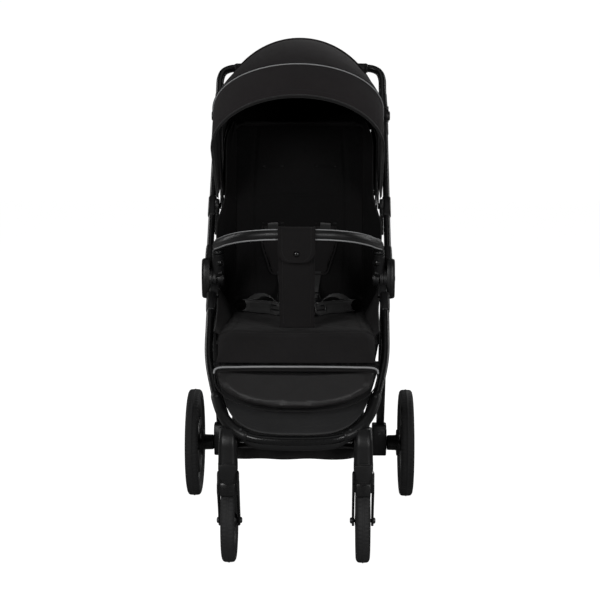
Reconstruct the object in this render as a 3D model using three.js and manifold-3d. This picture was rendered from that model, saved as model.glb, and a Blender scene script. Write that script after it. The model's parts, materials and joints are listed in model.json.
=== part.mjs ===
// Four-wheel pushchair with a folding frame, reclining seat, fan canopy, leg rest,
// removable bumper bar and tilting handle.  Millimetres, +Z up, -Y is the front,
// +X is the right-hand side as seen from the front.
import * as THREE from 'three';
import { mergeVertices } from 'three/addons/utils/BufferGeometryUtils.js';
import Module from 'manifold-3d';

const wasm = await Module();
wasm.setup();

// ------------------------------------------------------------ driving dimensions
const SHIFT_Y = -38.654;             // puts the middle of the whole box over the origin
const HINGE = [10, 573];            // main folding hinge, (y, z)
const TILT = [350, 928];            // handle tilt joint
const CANOPY = [150, 725];          // canopy pivot
const RECLINE = [106, 476];         // backrest hinge
const KNEE = [-268, 433];           // leg rest hinge
const REAR_AXLE = [275, 131];
const FRONT_AXLE = [-275, 90];
const SWIVEL_Y = -317;
const FORK_X = 142;
const REAR_R = 131, REAR_W = 32, REAR_IN = 243;
const FRONT_R = 90, FRONT_W = 30;
const LOWER_R = 9.5, UPPER_R = 8, LEG_R = 10, GRIP_R = 10;
const SIDE_X = 194;                 // lower frame tube centre
const UPPER_X = 203.5;              // upper frame tube centre
const REARLEG_X = 196;
const BUMPER_X = 180;
const GAP = 0.3;
const FRAME_SLOPE = (573 - 278.7) / 353;   // lower frame rises this much per mm of depth

// ------------------------------------------------------------ helpers
const V = (x, y, z) => new THREE.Vector3(x, y, z);
const rad = d => d * Math.PI / 180;

// merges vertices, drops collapsed triangles and turns the faces outward
function clean(g) {
  g = g.clone();
  for (const k of Object.keys(g.attributes)) if (k !== 'position') g.deleteAttribute(k);
  g = mergeVertices(g, 1e-4);
  const p = g.attributes.position, idx = [];
  const ix = g.index.array;
  for (let i = 0; i < ix.length; i += 3) {
    const a = ix[i], b = ix[i + 1], c = ix[i + 2];
    if (a !== b && b !== c && a !== c) idx.push(a, b, c);
  }
  let vol = 0;
  const A = V(), B = V(), C = V();
  for (let i = 0; i < idx.length; i += 3) {
    A.fromBufferAttribute(p, idx[i]); B.fromBufferAttribute(p, idx[i + 1]); C.fromBufferAttribute(p, idx[i + 2]);
    vol += A.dot(B.cross(C));
  }
  if (vol < 0) for (let i = 0; i < idx.length; i += 3) [idx[i], idx[i + 1]] = [idx[i + 1], idx[i]];
  g.setIndex(idx);
  return g;
}
function solid(g) {
  g = clean(g);
  return new wasm.Manifold(new wasm.Mesh({
    numProp: 3,
    vertProperties: new Float32Array(g.attributes.position.array),
    triVerts: new Uint32Array(g.index.array),
  }));
}
function geo(m) {
  const mesh = m.getMesh();
  const g = new THREE.BufferGeometry();
  g.setAttribute('position', new THREE.BufferAttribute(new Float32Array(mesh.vertProperties), 3));
  g.setIndex(Array.from(mesh.triVerts));
  return g;
}
function largest(m) {
  const parts = m.decompose();
  parts.sort((a, b) => b.volume() - a.volume());
  return parts[0];
}
const union = (...gs) => geo(gs.map(g => solid(g)).reduce((a, b) => a.add(b)));
const cut = (g, ...tools) => geo(largest(tools.map(t => solid(t)).reduce((a, b) => a.subtract(b), solid(g))));

const basis = (g, ex, ey, ez, o) => g.applyMatrix4(new THREE.Matrix4().makeBasis(V(...ex), V(...ey), V(...ez)).setPosition(V(...o)));
const shape = pts => new THREE.Shape(pts.map(p => new THREE.Vector2(p[0], p[1])));
const ext = (pts, d, holes = []) => {
  const s = shape(pts);
  for (const h of holes) s.holes.push(new THREE.Path(h.map(p => new THREE.Vector2(p[0], p[1]))));
  return new THREE.ExtrudeGeometry(s, { depth: d, bevelEnabled: false, steps: 1 });
};
// prisms along the three axes: outlines are (y,z), (x,z) and (x,y)
const prismX = (pts, x0, x1, holes) => basis(ext(pts, x1 - x0, holes), [0, 1, 0], [0, 0, 1], [1, 0, 0], [x0, 0, 0]);
const prismY = (pts, y0, y1, holes) => basis(ext(pts, y1 - y0, holes), [1, 0, 0], [0, 0, 1], [0, 1, 0], [0, y0, 0]);
const prismZ = (pts, z0, z1, holes) => basis(ext(pts, z1 - z0, holes), [1, 0, 0], [0, 1, 0], [0, 0, 1], [0, 0, z0]);
// solids of revolution about X or Z: profile points are (radius, height)
const latheX = (prof, segs, y, z) => basis(new THREE.LatheGeometry(prof.map(p => new THREE.Vector2(p[0], p[1])), segs), [0, 1, 0], [1, 0, 0], [0, 0, 1], [0, y, z]);
const latheZ = (prof, segs, x, y) => basis(new THREE.LatheGeometry(prof.map(p => new THREE.Vector2(p[0], p[1])), segs), [1, 0, 0], [0, 0, 1], [0, 1, 0], [x, y, 0]);
const discX = (r, x0, x1, y, z, segs = 20, b = 0) => latheX(b ? [[0, x0], [r - b, x0], [r, x0 + b], [r, x1 - b], [r - b, x1], [0, x1]] : [[0, x0], [r, x0], [r, x1], [0, x1]], segs, y, z);
const rodZ = (r, z0, z1, x, y, segs = 16) => latheZ([[0, z0], [r, z0], [r, z1], [0, z1]], segs, x, y);
const ring = (r, n, cx = 0, cy = 0, ry = r, a0 = 0) => Array.from({ length: n }, (_, i) => [cx + r * Math.cos(a0 + i * 2 * Math.PI / n), cy + ry * Math.sin(a0 + i * 2 * Math.PI / n)]);
function rrect(w, h, r, cx = 0, cy = 0, n = 4) {
  const pts = [];
  for (const [sx, sy, a] of [[1, 1, 0], [-1, 1, 90], [-1, -1, 180], [1, -1, 270]])
    for (let i = 0; i <= n; i++) {
      const t = rad(a + 90 * i / n);
      pts.push([cx + sx * (w / 2 - r) + r * Math.cos(t), cy + sy * (h / 2 - r) + r * Math.sin(t)]);
    }
  return pts;
}
// a round tube along a smooth line through the given points
function tube(pts, r, sides = 10, steps = 20, kind = 'centripetal') {
  const curve = new THREE.CatmullRomCurve3(pts.map(p => V(...p)), false, kind);
  return new THREE.ExtrudeGeometry(shape(ring(r, sides)), { steps, bevelEnabled: false, extrudePath: curve });
}
const rod = (a, b, r, sides = 10) => {
  const curve = new THREE.LineCurve3(V(...a), V(...b));
  return new THREE.ExtrudeGeometry(shape(ring(r, sides)), { steps: 1, bevelEnabled: false, extrudePath: curve });
};
// a thin shell between an outer and an inner surface over a grid
function shell(outer, inner, nu, nv) {
  const pos = [], idx = [];
  for (const f of [outer, inner]) for (let j = 0; j <= nv; j++) for (let i = 0; i <= nu; i++) pos.push(...f(i / nu, j / nv));
  const n = (nu + 1) * (nv + 1), at = (s, i, j) => s * n + j * (nu + 1) + i;
  const quad = (a, b, c, d) => idx.push(a, b, c, a, c, d);
  for (let j = 0; j < nv; j++) for (let i = 0; i < nu; i++) {
    quad(at(0, i, j), at(0, i + 1, j), at(0, i + 1, j + 1), at(0, i, j + 1));
    quad(at(1, i, j), at(1, i, j + 1), at(1, i + 1, j + 1), at(1, i + 1, j));
  }
  for (let i = 0; i < nu; i++) {
    quad(at(0, i, 0), at(1, i, 0), at(1, i + 1, 0), at(0, i + 1, 0));
    quad(at(0, i, nv), at(0, i + 1, nv), at(1, i + 1, nv), at(1, i, nv));
  }
  for (let j = 0; j < nv; j++) {
    quad(at(0, 0, j), at(0, 0, j + 1), at(1, 0, j + 1), at(1, 0, j));
    quad(at(0, nu, j), at(1, nu, j), at(1, nu, j + 1), at(0, nu, j + 1));
  }
  const g = new THREE.BufferGeometry();
  g.setAttribute('position', new THREE.Float32BufferAttribute(pos, 3));
  g.setIndex(idx);
  return g;
}
const mirror = g => g.clone().applyMatrix4(new THREE.Matrix4().makeScale(-1, 1, 1));

// ------------------------------------------------------------ materials
const M = (color, roughness, metalness) => () => new THREE.MeshStandardMaterial({ color, roughness, metalness });
const PAINT = M(0x131314, 0.38, 0.45), PLASTIC = M(0x151516, 0.55, 0.0), GLOSS = M(0x101011, 0.3, 0.0);
const TYRE = M(0x1b1b1c, 0.82, 0.0), FABRIC = M(0x1c1a1b, 0.92, 0.0), PAD = M(0x181718, 0.9, 0.0);
const LEATHER = M(0x222122, 0.5, 0.0), LEG = M(0x29292a, 0.6, 0.0), WEB = M(0x151515, 0.85, 0.0);
const STEEL = M(0x5a5c5e, 0.35, 0.9), PANEL = M(0x262627, 0.7, 0.0);

const root = new THREE.Group();
root.position.set(0, SHIFT_Y, 0);
function add(name, g, mat) {
  const mesh = new THREE.Mesh(clean(g), mat());
  mesh.geometry.computeVertexNormals();
  mesh.name = name;
  root.add(mesh);
  return mesh;
}
const pair = (name, g, mat) => { add(name + '_r', g, mat); add(name + '_l', mirror(g), mat); };

// ------------------------------------------------------------ lower frame: one bent tube
const onFrame = (x, y) => [x, y, HINGE[1] + (y - HINGE[0]) * FRAME_SLOPE];
const bend = [[194, -27], [193.5, -100], [191, -165], [180, -218], [154, -291], [125, -322], [90, -337], [45, -342], [0, -343]];
const loop = [...bend, ...bend.slice(0, -1).reverse().map(([x, y]) => [-x, y])].map(([x, y]) => onFrame(x, y));
const lowerTube = tube(loop, LOWER_R, 10, 44);
add('lower_frame_tube', lowerTube, PAINT);

// panel that closes the front of the loop above the front wheels
{
  const d = V(0, -1, -FRAME_SLOPE).normalize(), n = V(0, -d.z, d.y).normalize(); // n points down-back
  const s = y => (HINGE[0] - y) / -d.y;
  const inner = [[177.5, -180], [168, -215], [141, -283], [115, -310], [84, -324], [42, -329.5]];
  const out = [...inner.map(([x, y]) => [x, s(y)]), [0, s(-330)], ...inner.slice().reverse().map(([x, y]) => [-x, s(y)])];
  const g = ext(out, 3);
  basis(g, [1, 0, 0], [d.x, d.y, d.z], [n.x, n.y, n.z], [0, HINGE[0], HINGE[1]]);
  add('foot_panel', g, PANEL);
}

// front leg housings under the bends of the tube, bored for the swivel stem
{
  const fat = tube(loop, LOWER_R + 0.6, 10, 44);
  const leg = prismZ(rrect(41, 38, 12, FORK_X, SWIVEL_Y, 3), 209.5, 298);
  const ear = prismX([[-322, 262], [-300, 262], [-262, 262], [-262, 246], [-300, 240], [-322, 240]], FORK_X - 16, FORK_X + 4);
  pair('front_leg', cut(union(leg, ear), fat, rodZ(8, 200, 292, FORK_X, SWIVEL_Y, 16)), PLASTIC);
}
// cross tube between the front legs, which also carries the front of the basket
add('front_crossbar', rod([-125.5, -272, 254], [125.5, -272, 254], 7, 10), PAINT);

// ------------------------------------------------------------ front forks, wheels and swivel locks
{
  const [ay, az] = FRONT_AXLE;
  const crown = latheZ([[0, 158], [20, 158], [23.5, 162], [23.5, 203], [20, 208], [0, 208]], 20, FORK_X, SWIVEL_Y);
  const tunnel = discX(FRONT_R + 6, FORK_X - 17.9, FORK_X + 17.9, ay, az, 32);
  const blade = [[-330, 184.5], [-304, 184.5], [-284, 150], [-264, 98], [-263.4, 87], [-268, 80.5], [-275, 78], [-282, 80.5], [-287, 88], [-300, 120], [-329, 164]];
  const bladeR = prismX(blade, FORK_X + 18, FORK_X + 23.2), bladeL = prismX(blade, FORK_X - 23.2, FORK_X - 18);
  const body = geo(solid(crown).subtract(solid(tunnel)).add(solid(bladeR)).add(solid(bladeL)).add(solid(rodZ(6.5, 206, 288, FORK_X, SWIVEL_Y, 12)))
    .subtract(solid(discX(4.4, FORK_X - 30, FORK_X + 30, ay, az, 12))));
  pair('front_fork', body, GLOSS);
  pair('front_axle', latheX([[0, FORK_X - 26.6], [6.5, FORK_X - 26.6], [6.5, FORK_X - 23.6], [4, FORK_X - 23.6], [4, FORK_X + 23.6], [6.5, FORK_X + 23.6], [6.5, FORK_X + 26.6], [0, FORK_X + 26.6]], 12, ay, az), STEEL);
  const h = FRONT_W / 2;
  pair('front_tyre', latheX([[71, FORK_X - 11], [78, FORK_X - h], [85, FORK_X - h + 2], [FRONT_R, FORK_X - 5], [FRONT_R, FORK_X + 5], [85, FORK_X + h - 2], [78, FORK_X + h], [71, FORK_X + 11], [71, FORK_X - 11]], 32, ay, az), TYRE);
  const holes = [];
  for (let k = 0; k < 5; k++) {
    const a = rad(90 + 72 * k), q = [];
    for (const [r, w] of [[58, 0.42], [58, 0.14], [58, -0.14], [58, -0.42], [24, -0.22], [24, 0.22]]) q.push([ay + r * Math.cos(a + w), az + r * Math.sin(a + w)]);
    holes.push(q);
  }
  const web = prismX(ring(70.6, 32, ay, az), FORK_X - 9, FORK_X + 9, holes);
  const rim = geo(solid(web).add(solid(discX(16, FORK_X - 17, FORK_X + 17, ay, az, 16))).subtract(solid(discX(4.8, FORK_X - 30, FORK_X + 30, ay, az, 12))));
  pair('front_rim', rim, PLASTIC);
  pair('swivel_lock', prismX([[-336.6, 228.5], [-341, 230], [-347, 226], [-347.5, 192], [-345, 186], [-342, 187], [-341.8, 212], [-336.8, 215]], FORK_X - 12, FORK_X + 12), GLOSS);
}

// ------------------------------------------------------------ main hinge
{
  const [hy, hz] = HINGE;
  const u = V(0, -1, -FRAME_SLOPE).normalize();
  // disc of the lower frame with its tongue, gripping the tube end
  const tongue = (dy, dz, len, wid, x0, x1) => {
    const py = -dz, pz = dy, w = wid / 2;
    return prismX([[hy + py * w, hz + pz * w], [hy + dy * len + py * w, hz + dz * len + pz * w], [hy + dy * len - py * w, hz + dz * len - pz * w], [hy - py * w, hz - pz * w]], x0, x1);
  };
  pair('hinge_inner', union(discX(25, 184, 191.5, hy, hz, 20), tongue(u.y, u.z, 47, 18, 184, 191.5)), PLASTIC);
  // oval outer cover with a flat face, turning with the upper frame
  const oval = ring(22, 20, hy, hz, 46, Math.PI / 20);
  const face = ring(17, 20, hy, hz, 40, Math.PI / 20);
  const pos = [], idx = [];
  for (const [pp, x] of [[oval, 200.2], [oval, 212], [face, 218]]) for (const p of pp) pos.push(x, p[0], p[1]);
  for (let k = 0; k < 2; k++) for (let i = 0; i < 20; i++) { const j = (i + 1) % 20; idx.push(k * 20 + i, k * 20 + j, k * 20 + 20 + j, k * 20 + i, k * 20 + 20 + j, k * 20 + 20 + i); }
  for (let i = 1; i < 19; i++) { idx.push(0, i + 1, i); idx.push(40, 40 + i, 40 + i + 1); }
  const g = new THREE.BufferGeometry(); g.setAttribute('position', new THREE.Float32BufferAttribute(pos, 3)); g.setIndex(idx);
  pair('hinge_cover', g, PLASTIC);

  // rear legs: disc between the other two, neck and tube
  const r = V(0, REAR_AXLE[0] - 8 - hy, REAR_AXLE[1] + 51 - hz).normalize();
  const at = s => [REARLEG_X, hy + r.y * s, hz + r.z * s];
  const L = Math.hypot(REAR_AXLE[0] - 8 - hy, REAR_AXLE[1] + 51 - hz);
  pair('rear_leg', union(discX(23, 192.1, 199.6, hy, hz, 20), tongue(r.y, r.z, 60, 16, 192.1, 199.6), rod(at(50), at(L), LEG_R, 12)), PAINT);

  // upper frame tubes, with the inner half of the handle tilt joint
  const t = V(0, TILT[0] - hy, TILT[1] - hz).normalize();
  const T = Math.hypot(TILT[0] - hy, TILT[1] - hz);
  const up = s => [UPPER_X, hy + t.y * s, hz + t.z * s];
  pair('upper_frame_tube', union(rod(up(40), up(T - 20), UPPER_R, 12), discX(17.5, 192, 203, TILT[0], TILT[1], 20, 1.5),
    prismX([[TILT[0] - t.y * 30 - t.z * 6, TILT[1] - t.z * 30 + t.y * 6], [TILT[0] - t.y * 30 + t.z * 6, TILT[1] - t.z * 30 - t.y * 6], [TILT[0] + t.z * 6, TILT[1] - t.y * 6], [TILT[0] - t.z * 6, TILT[1] + t.y * 6]], 196, 202.8)), PAINT);
}

// ------------------------------------------------------------ handle
{
  const [ty, tz] = TILT;
  const side = [[200, 362, 947], [200, 393, 991], [199, 412, 1017], [192, 424, 1033], [176, 431, 1041], [150, 432.5, 1043], [100, 432.5, 1043], [0, 432.5, 1043]];
  const all = [...side, ...side.slice(0, -1).reverse().map(([x, y, z]) => [-x, y, z])];
  const bar = tube(all, GRIP_R, 10, 36);
  const dir = V(0, 31, 44).normalize();
  const neck = s => prismX([[ty - dir.z * 7, tz + dir.y * 7], [ty + dir.y * 34 - dir.z * 7, tz + dir.z * 34 + dir.y * 7], [ty + dir.y * 34 + dir.z * 7, tz + dir.z * 34 - dir.y * 7], [ty + dir.z * 7, tz - dir.y * 7]], s > 0 ? 203.6 : -209, s > 0 ? 209 : -203.6);
  const hub = discX(17.5, 203.6, 214, ty, tz, 20, 1.5);
  let b = solid(bar);
  for (const s of [1, -1]) {
    b = b.add(solid(s > 0 ? hub : mirror(hub))).add(solid(neck(s)));
    const bore = discX(11.8, 207, 220, ty, tz, 16);
    b = b.subtract(solid(s > 0 ? bore : mirror(bore)));
  }
  // slot in the underside of the grip for the fold trigger
  b = b.subtract(solid(new THREE.BoxGeometry(52, 12, 9).translate(0, 432.5, 1034.5)));
  add('handle_bar', geo(b), PAINT);
  pair('tilt_button', discX(11.2, 211.2, 217.6, ty, tz, 16, 1), PLASTIC);
  add('fold_trigger', new THREE.BoxGeometry(48, 9, 8).translate(0, 432.5, 1030), PLASTIC);
}

// ------------------------------------------------------------ canopy
// an arch standing on two straight legs, in a plane through the pivot axis
function archPoint(u, w, legR, top, r0) {      // u from -1 to 1, returns [x, r]
  const s = Math.sign(u) || 1, a = Math.abs(u);
  if (a > 0.76) return [s * w, r0 + (legR - r0) * (1 - a) / 0.24];
  const t = a / 0.76 * Math.PI / 2;
  return [s * w * Math.sin(t), legR + (top - legR) * Math.cos(t)];
}
const polar = (x, r, deg) => [x, CANOPY[0] - r * Math.sin(rad(deg)), CANOPY[1] + r * Math.cos(rad(deg))];
function bow(w, legR, top, deg, thick = 3.2, depth = 9) {
  const n = 22, o = [], q = [];
  for (let i = 0; i <= n; i++) { const u = -1 + 2 * i / n; o.push(archPoint(u, w, legR, top, -7)); q.push(archPoint(u, w - thick, legR, top - thick, -7)); }
  const g = ext([...o, ...q.reverse()], depth);
  const c = Math.cos(rad(deg)), s = Math.sin(rad(deg));
  return basis(g.translate(0, 0, -depth / 2), [1, 0, 0], [0, -s, c], [0, c, s], [0, CANOPY[0], CANOPY[1]]);
}
add('canopy_rear_bow', bow(186, 186, 381.5, -42), PLASTIC);
add('canopy_mid_bow', bow(182.3, 186, 381.5, -5), PLASTIC);
add('canopy_front_bow', bow(178.6, 260, 380, 31.5), PLASTIC);
pair('canopy_mount', discX(17, 187, 195.2, CANOPY[0], CANOPY[1], 20, 1.5), PLASTIC);
// fabric between the rear and middle bows, and from there to the visor edge
{
  // the rear part runs over both bows, then across the upper half of the rear opening, and turns in round the bow's legs
  const rear = off => (u, v) => {
    const a = archPoint(2 * u - 1, 189.3 - off, 186, 387 - off, 45);
    if (v >= 0.3) return polar(...a, -45 + (v - 0.3) / 0.7 * 39);
    const k = v / 0.3, e = Math.abs(2 * u - 1), sg = Math.sign(2 * u - 1);
    const top = polar(...a, -45), r = a[1], m = r * 0.0523 + 7.5 - off;
    const mix = (p, q, t) => [0, 1, 2].map(i => p[i] + (q[i] - p[i]) * t);
    const chord = [sg * 166 * Math.min(1, e / 0.5), 318 - 0.707 * off, 893 + 0.707 * off];
    const hem = x => [x, CANOPY[0] + 0.669 * r + 0.743 * m, CANOPY[1] + 0.743 * r - 0.669 * m];
    const side = k > 0.66 ? mix(top, hem(top[0]), (1 - k) / 0.34) : mix(hem(top[0]), hem(sg * 174), 1 - k / 0.66);
    const w = Math.min(1, Math.max(0, (e - 0.5) / 0.16));
    return mix(mix(top, chord, 1 - k), side, w * w * (3 - 2 * w));
  };
  add('canopy_rear_fabric', shell(rear(0), rear(2.3), 22, 10), FABRIC);
  const front = off => (u, v) => {
    const k = Math.min(1, v / 0.6), e = Math.abs(2 * u - 1);
    const [x, r] = archPoint(2 * u - 1, 189.3 - off, 186 + 80 * k, 387 - off, 45);
    const edge = 47.5 + 9 * Math.min(1, Math.pow(e / 0.76, 2));
    return polar(x, r, v < 0.6 ? -1 + v / 0.6 * 32.5 : 31.5 + (v - 0.6) / 0.4 * (edge - 31.5));
  };
  add('canopy_front_fabric', shell(front(0), front(2.3), 24, 10), FABRIC);
}

// ------------------------------------------------------------ seat
// cushion with its front roll over the knees, outline in (y, z)
add('seat_cushion', prismX([[96, 462], [96, 482], [88, 486], [-190, 488], [-216, 485], [-234, 476], [-246, 461], [-264, 441], [-275.5, 425], [-270, 420.5], [-256.5, 435.5], [-248, 434], [-226, 448], [-205, 458], [-185, 462]], -178, 178), PAD);
add('seat_base', prismX([[92, 455], [92, 461.6], [-186, 461.6], [-186, 455]], -174, 174), PLASTIC);
add('seat_front_tube', rod([-176, -246, 424], [176, -246, 424], 6, 10), PAINT);
{
  // leg rest pad with a straight top and rounded lower corners, tilted with the knees
  const a = Math.atan2(78, 70), c = Math.cos(a), s = Math.sin(a);
  const w = 176, h = 113, q = [[w, 14], [w, 26]];
  for (let i = 1; i <= 10; i++) { const t = rad(90 * i / 10); q.push([i === 10 ? 0 : w * Math.pow(Math.cos(t), 2 / 2.4), 26 + (h - 26) * Math.pow(Math.sin(t), 2 / 2.4)]); }
  const out = [...q, ...q.slice(0, -1).reverse().map(([x, y]) => [-x, y])];
  const g = ext(out, 20);
  add('leg_rest', basis(g, [1, 0, 0], [0, -c, -s], [0, s, -c], [0, -268, 431]), LEG);
}

// backrest: board and pad, leaning back 14 degrees
const LEAN = Math.atan2(112, 440), lc = Math.cos(LEAN), ls = Math.sin(LEAN);
const onBack = (s, n) => [RECLINE[0] + 2 + s * ls - n * lc, RECLINE[1] + 16 + s * lc + n * ls];   // s along, n forward
{
  const q = (s0, s1, n0, n1) => [onBack(s0, n0), onBack(s1, n0), onBack(s1, n1), onBack(s0, n1)];
  add('backrest_board', prismX(q(6, 442, -3, 1), -162, 162), PLASTIC);
  add('backrest_pad', prismX(q(0, 436, 1.4, 22), -164, 164), PAD);
  // shoulder pads on the harness, hanging from the slots
  const sp = (x0, x1) => {
    const [y0, z0] = onBack(192, 22.6), [y1, z1] = onBack(74, 22.6), [y2, z2] = onBack(74, 31), [y3, z3] = onBack(192, 31);
    return prismX([[y0, z0], [y3, z3], [y2, z2], [y1, z1]], x0, x1);
  };
  pair('shoulder_strap', sp(32, 88), WEB);
}
// waist belts lying on the cushion, and the buckle where they meet
{
  const belt = ext([[44, -40], [60, -62], [150, -12], [158, 8], [140, 14], [126, -2]], 5);
  pair('waist_strap', basis(belt, [1, 0, 0], [0, 1, 0], [0, 0, 1], [0, 20, 488.6]), WEB);
  add('harness_buckle', prismZ(rrect(56, 44, 12, 0, -36), 488.6, 500), GLOSS);
}

// ------------------------------------------------------------ bumper bar
{
  const [hy, hz] = HINGE;
  const ax = V(0, -15, 61).normalize();
  const on = s => [BUMPER_X, hy - 6 + ax.y * s, hz + ax.z * s];
  const socket = geo(solid(discX(20, 168, 183.6, hy, hz, 20, 2)).add(solid(rod(on(6), on(62), 14, 12)))
    .subtract(solid(discX(30, 183.6, 200, hy, hz, 20))).subtract(solid(rod(on(33), on(70), 9.7, 12))));
  pair('bumper_socket', socket, PLASTIC);
  const e = on(64), side = [e, [179.8, -15.5, 645], [179, -26, 652], [177, -42, 655], [173, -62, 658.5], [166, -92, 663.5], [146, -136, 675.5], [112, -172, 686.5], [62, -194, 693], [0, -200, 694]];
  const all = [...side, ...side.slice(0, -1).reverse().map(([x, y, z]) => [-x, y, z])];
  const plug = rod(on(36), on(66), 9, 12);
  add('bumper_bar', geo(solid(tube(all, 12.5, 10, 38)).add(solid(plug)).add(solid(mirror(plug)))), LEATHER);
  // strap sleeve round the bar with its hanging flap
  const o = ring(17.6, 16, -199.5, 693.8), i = ring(14.8, 16, -199.5, 693.8);
  const sleeve = prismX(o, -38, 38, [i]);
  const flap = prismX([[-217.3, 690], [-214.6, 690], [-211.5, 640], [-214.2, 639.5]], -38, 38);
  add('strap_sleeve', geo(solid(sleeve).add(solid(flap))), FABRIC);
  add('crotch_strap', prismX([[-201, 675.4], [-197, 675.4], [-172, 489.2], [-176.5, 489.2]], -37, 37), FABRIC);
}

// ------------------------------------------------------------ rear axle, brake and wheels
{
  const [ay, az] = REAR_AXLE;
  const block = prismX([[252, 101], [297, 101], [300, 118], [296, 150], [282, 181], [250, 181], [247, 150]], 175, 211.5);
  const cross = rod([-180, ay, 146], [180, ay, 146], 10, 12);
  const stub = discX(5.5, 205, 268, ay, az, 12);
  const legEnd = [REARLEG_X, 267, 182];
  let b = solid(cross);
  for (const m of [g => g, mirror]) b = b.add(solid(m(block))).add(solid(m(stub)));
  const r = V(0, 267 - HINGE[0], 182 - HINGE[1]).normalize();
  const tool = rod([REARLEG_X, 267 - r.y * 30, 182 - r.z * 30], [REARLEG_X, 267 + r.y * 0.4, 182 + r.z * 0.4], LEG_R + 0.5, 12);
  b = b.subtract(solid(tool)).subtract(solid(mirror(tool)));
  add('rear_axle', geo(b), PLASTIC);
  // brake pedal with a sleeve round the cross tube
  const pedal = geo(solid(prismX([...ring(15, 16, ay, 146)], -34, 34)).add(solid(prismX([[284, 160], [330, 168], [334, 162], [330, 156], [286, 140]], -34, 34))).subtract(solid(rod([-40, ay, 146], [40, ay, 146], 10.6, 16))));
  add('brake_pedal', pedal, GLOSS);

  const x0 = REAR_IN, x1 = REAR_IN + REAR_W;
  pair('rear_tyre', latheX([[110, x0 + 5], [118, x0], [126, x0 + 3], [REAR_R, x0 + 11], [REAR_R, x1 - 11], [126, x1 - 3], [118, x1], [110, x1 - 5], [110, x0 + 5]], 40, ay, az), TYRE);
  const holes = [];
  for (let k = 0; k < 5; k++) {
    const a = rad(90 + 72 * k), q = [];
    for (const [rr, w] of [[97, 0.5], [98, 0.25], [98, 0], [98, -0.25], [97, -0.5], [34, -0.34], [32, 0], [34, 0.34]]) q.push([ay + rr * Math.cos(a + w), az + rr * Math.sin(a + w)]);
    holes.push(q);
  }
  const rim = geo(solid(prismX(ring(109.6, 40, ay, az), x0 + 7, x1 - 7, holes)).add(solid(discX(21, 212.5, x1 - 3, ay, az, 20, 2)))
    .subtract(solid(discX(6.2, 200, 269.5, ay, az, 12))));
  pair('rear_rim', rim, PLASTIC);
}

// ------------------------------------------------------------ shopping basket, open at the top
{
  const o = [[-262, 268], [-259, 232], [-190, 200], [190, 186], [232, 200], [250, 262]];
  const i = [[-258.6, 290], [-255.6, 234], [-189, 203.2], [189, 189.2], [229.5, 202.4], [248, 290]];
  const tub = cut(prismX(o, -150, 150), prismX(i, -147, 147));
  add('basket', cut(tub, rod([-160, -272, 254], [160, -272, 254], 7.6, 10)), FABRIC);
}

export default root;
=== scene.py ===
import json
import math
import bmesh
import bpy
import numpy as np
from mathutils import Matrix, Vector


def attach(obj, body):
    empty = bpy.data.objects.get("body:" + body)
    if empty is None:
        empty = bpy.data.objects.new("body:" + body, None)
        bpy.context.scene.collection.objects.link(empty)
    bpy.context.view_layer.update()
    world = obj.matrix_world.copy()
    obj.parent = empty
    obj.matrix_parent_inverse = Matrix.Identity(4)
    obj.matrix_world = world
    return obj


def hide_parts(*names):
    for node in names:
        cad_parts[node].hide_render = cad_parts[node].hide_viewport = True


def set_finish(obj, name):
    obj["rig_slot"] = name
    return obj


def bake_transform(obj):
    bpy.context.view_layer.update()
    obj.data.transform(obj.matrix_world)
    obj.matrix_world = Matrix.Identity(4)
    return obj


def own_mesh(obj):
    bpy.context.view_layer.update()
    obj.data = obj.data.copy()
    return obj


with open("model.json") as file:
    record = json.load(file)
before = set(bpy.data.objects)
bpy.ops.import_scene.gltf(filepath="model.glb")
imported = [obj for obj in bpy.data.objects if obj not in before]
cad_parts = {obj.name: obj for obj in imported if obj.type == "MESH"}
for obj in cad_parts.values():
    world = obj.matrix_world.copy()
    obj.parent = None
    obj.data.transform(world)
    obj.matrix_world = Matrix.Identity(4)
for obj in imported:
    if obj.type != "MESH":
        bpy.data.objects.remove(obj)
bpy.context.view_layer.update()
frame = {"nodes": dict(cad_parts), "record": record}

RNG = np.random.default_rng(7)
SY = -0.038654            # the model's place along Y against the design coordinates below


def D(x, y, z):
    """Design coordinates in millimetres to metres in the frame."""
    return (x / 1000.0, y / 1000.0 + SY, z / 1000.0)


HINGE = (10.0, 573.0)
TILT = (350.0, 928.0)
CANOPY = (150.0, 725.0)
SLOPE = (573 - 278.7) / 353

# ------------------------------------------------------------------ camera, light, floor
scene = bpy.context.scene
cam_data = bpy.data.cameras.new("camera")
cam_data.sensor_width = 36.0
cam_data.lens = 97.77
cam_data.clip_start = 0.1
cam_data.clip_end = 60.0
cam = bpy.data.objects.new("camera", cam_data)
scene.collection.objects.link(cam)
cam.location = (0.06446, -3.648 + SY, 1.05433)
cam.rotation_euler = (math.pi / 2 - 0.1441, 0.0, 0.0166)
scene.camera = cam

world = bpy.data.worlds.new("world")
scene.world = world
world.use_nodes = True
wt = world.node_tree
bg = wt.nodes["Background"]
lp = wt.nodes.new("ShaderNodeLightPath")
grad = wt.nodes.new("ShaderNodeMix")
grad.data_type = "FLOAT"
grad.inputs[2].default_value = 0.03           # what lights the object
grad.inputs[3].default_value = 1.02          # what the camera sees
wt.links.new(lp.outputs["Is Camera Ray"], grad.inputs[0])
wt.links.new(grad.outputs[0], bg.inputs[1])
bg.inputs[0].default_value = (1.0, 1.0, 1.0, 1)
scene.view_settings.view_transform = "Standard"
scene.view_settings.look = "None"


def area(name, loc, target, size, power, color=(1, 1, 1)):
    d = bpy.data.lights.new(name, "AREA")
    d.shape = "RECTANGLE"
    d.size, d.size_y = size
    d.energy = power
    d.color = color
    o = bpy.data.objects.new(name, d)
    scene.collection.objects.link(o)
    o.location = loc
    o.rotation_euler = (Vector(target) - Vector(loc)).to_track_quat("-Z", "Y").to_euler()
    return o


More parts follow.
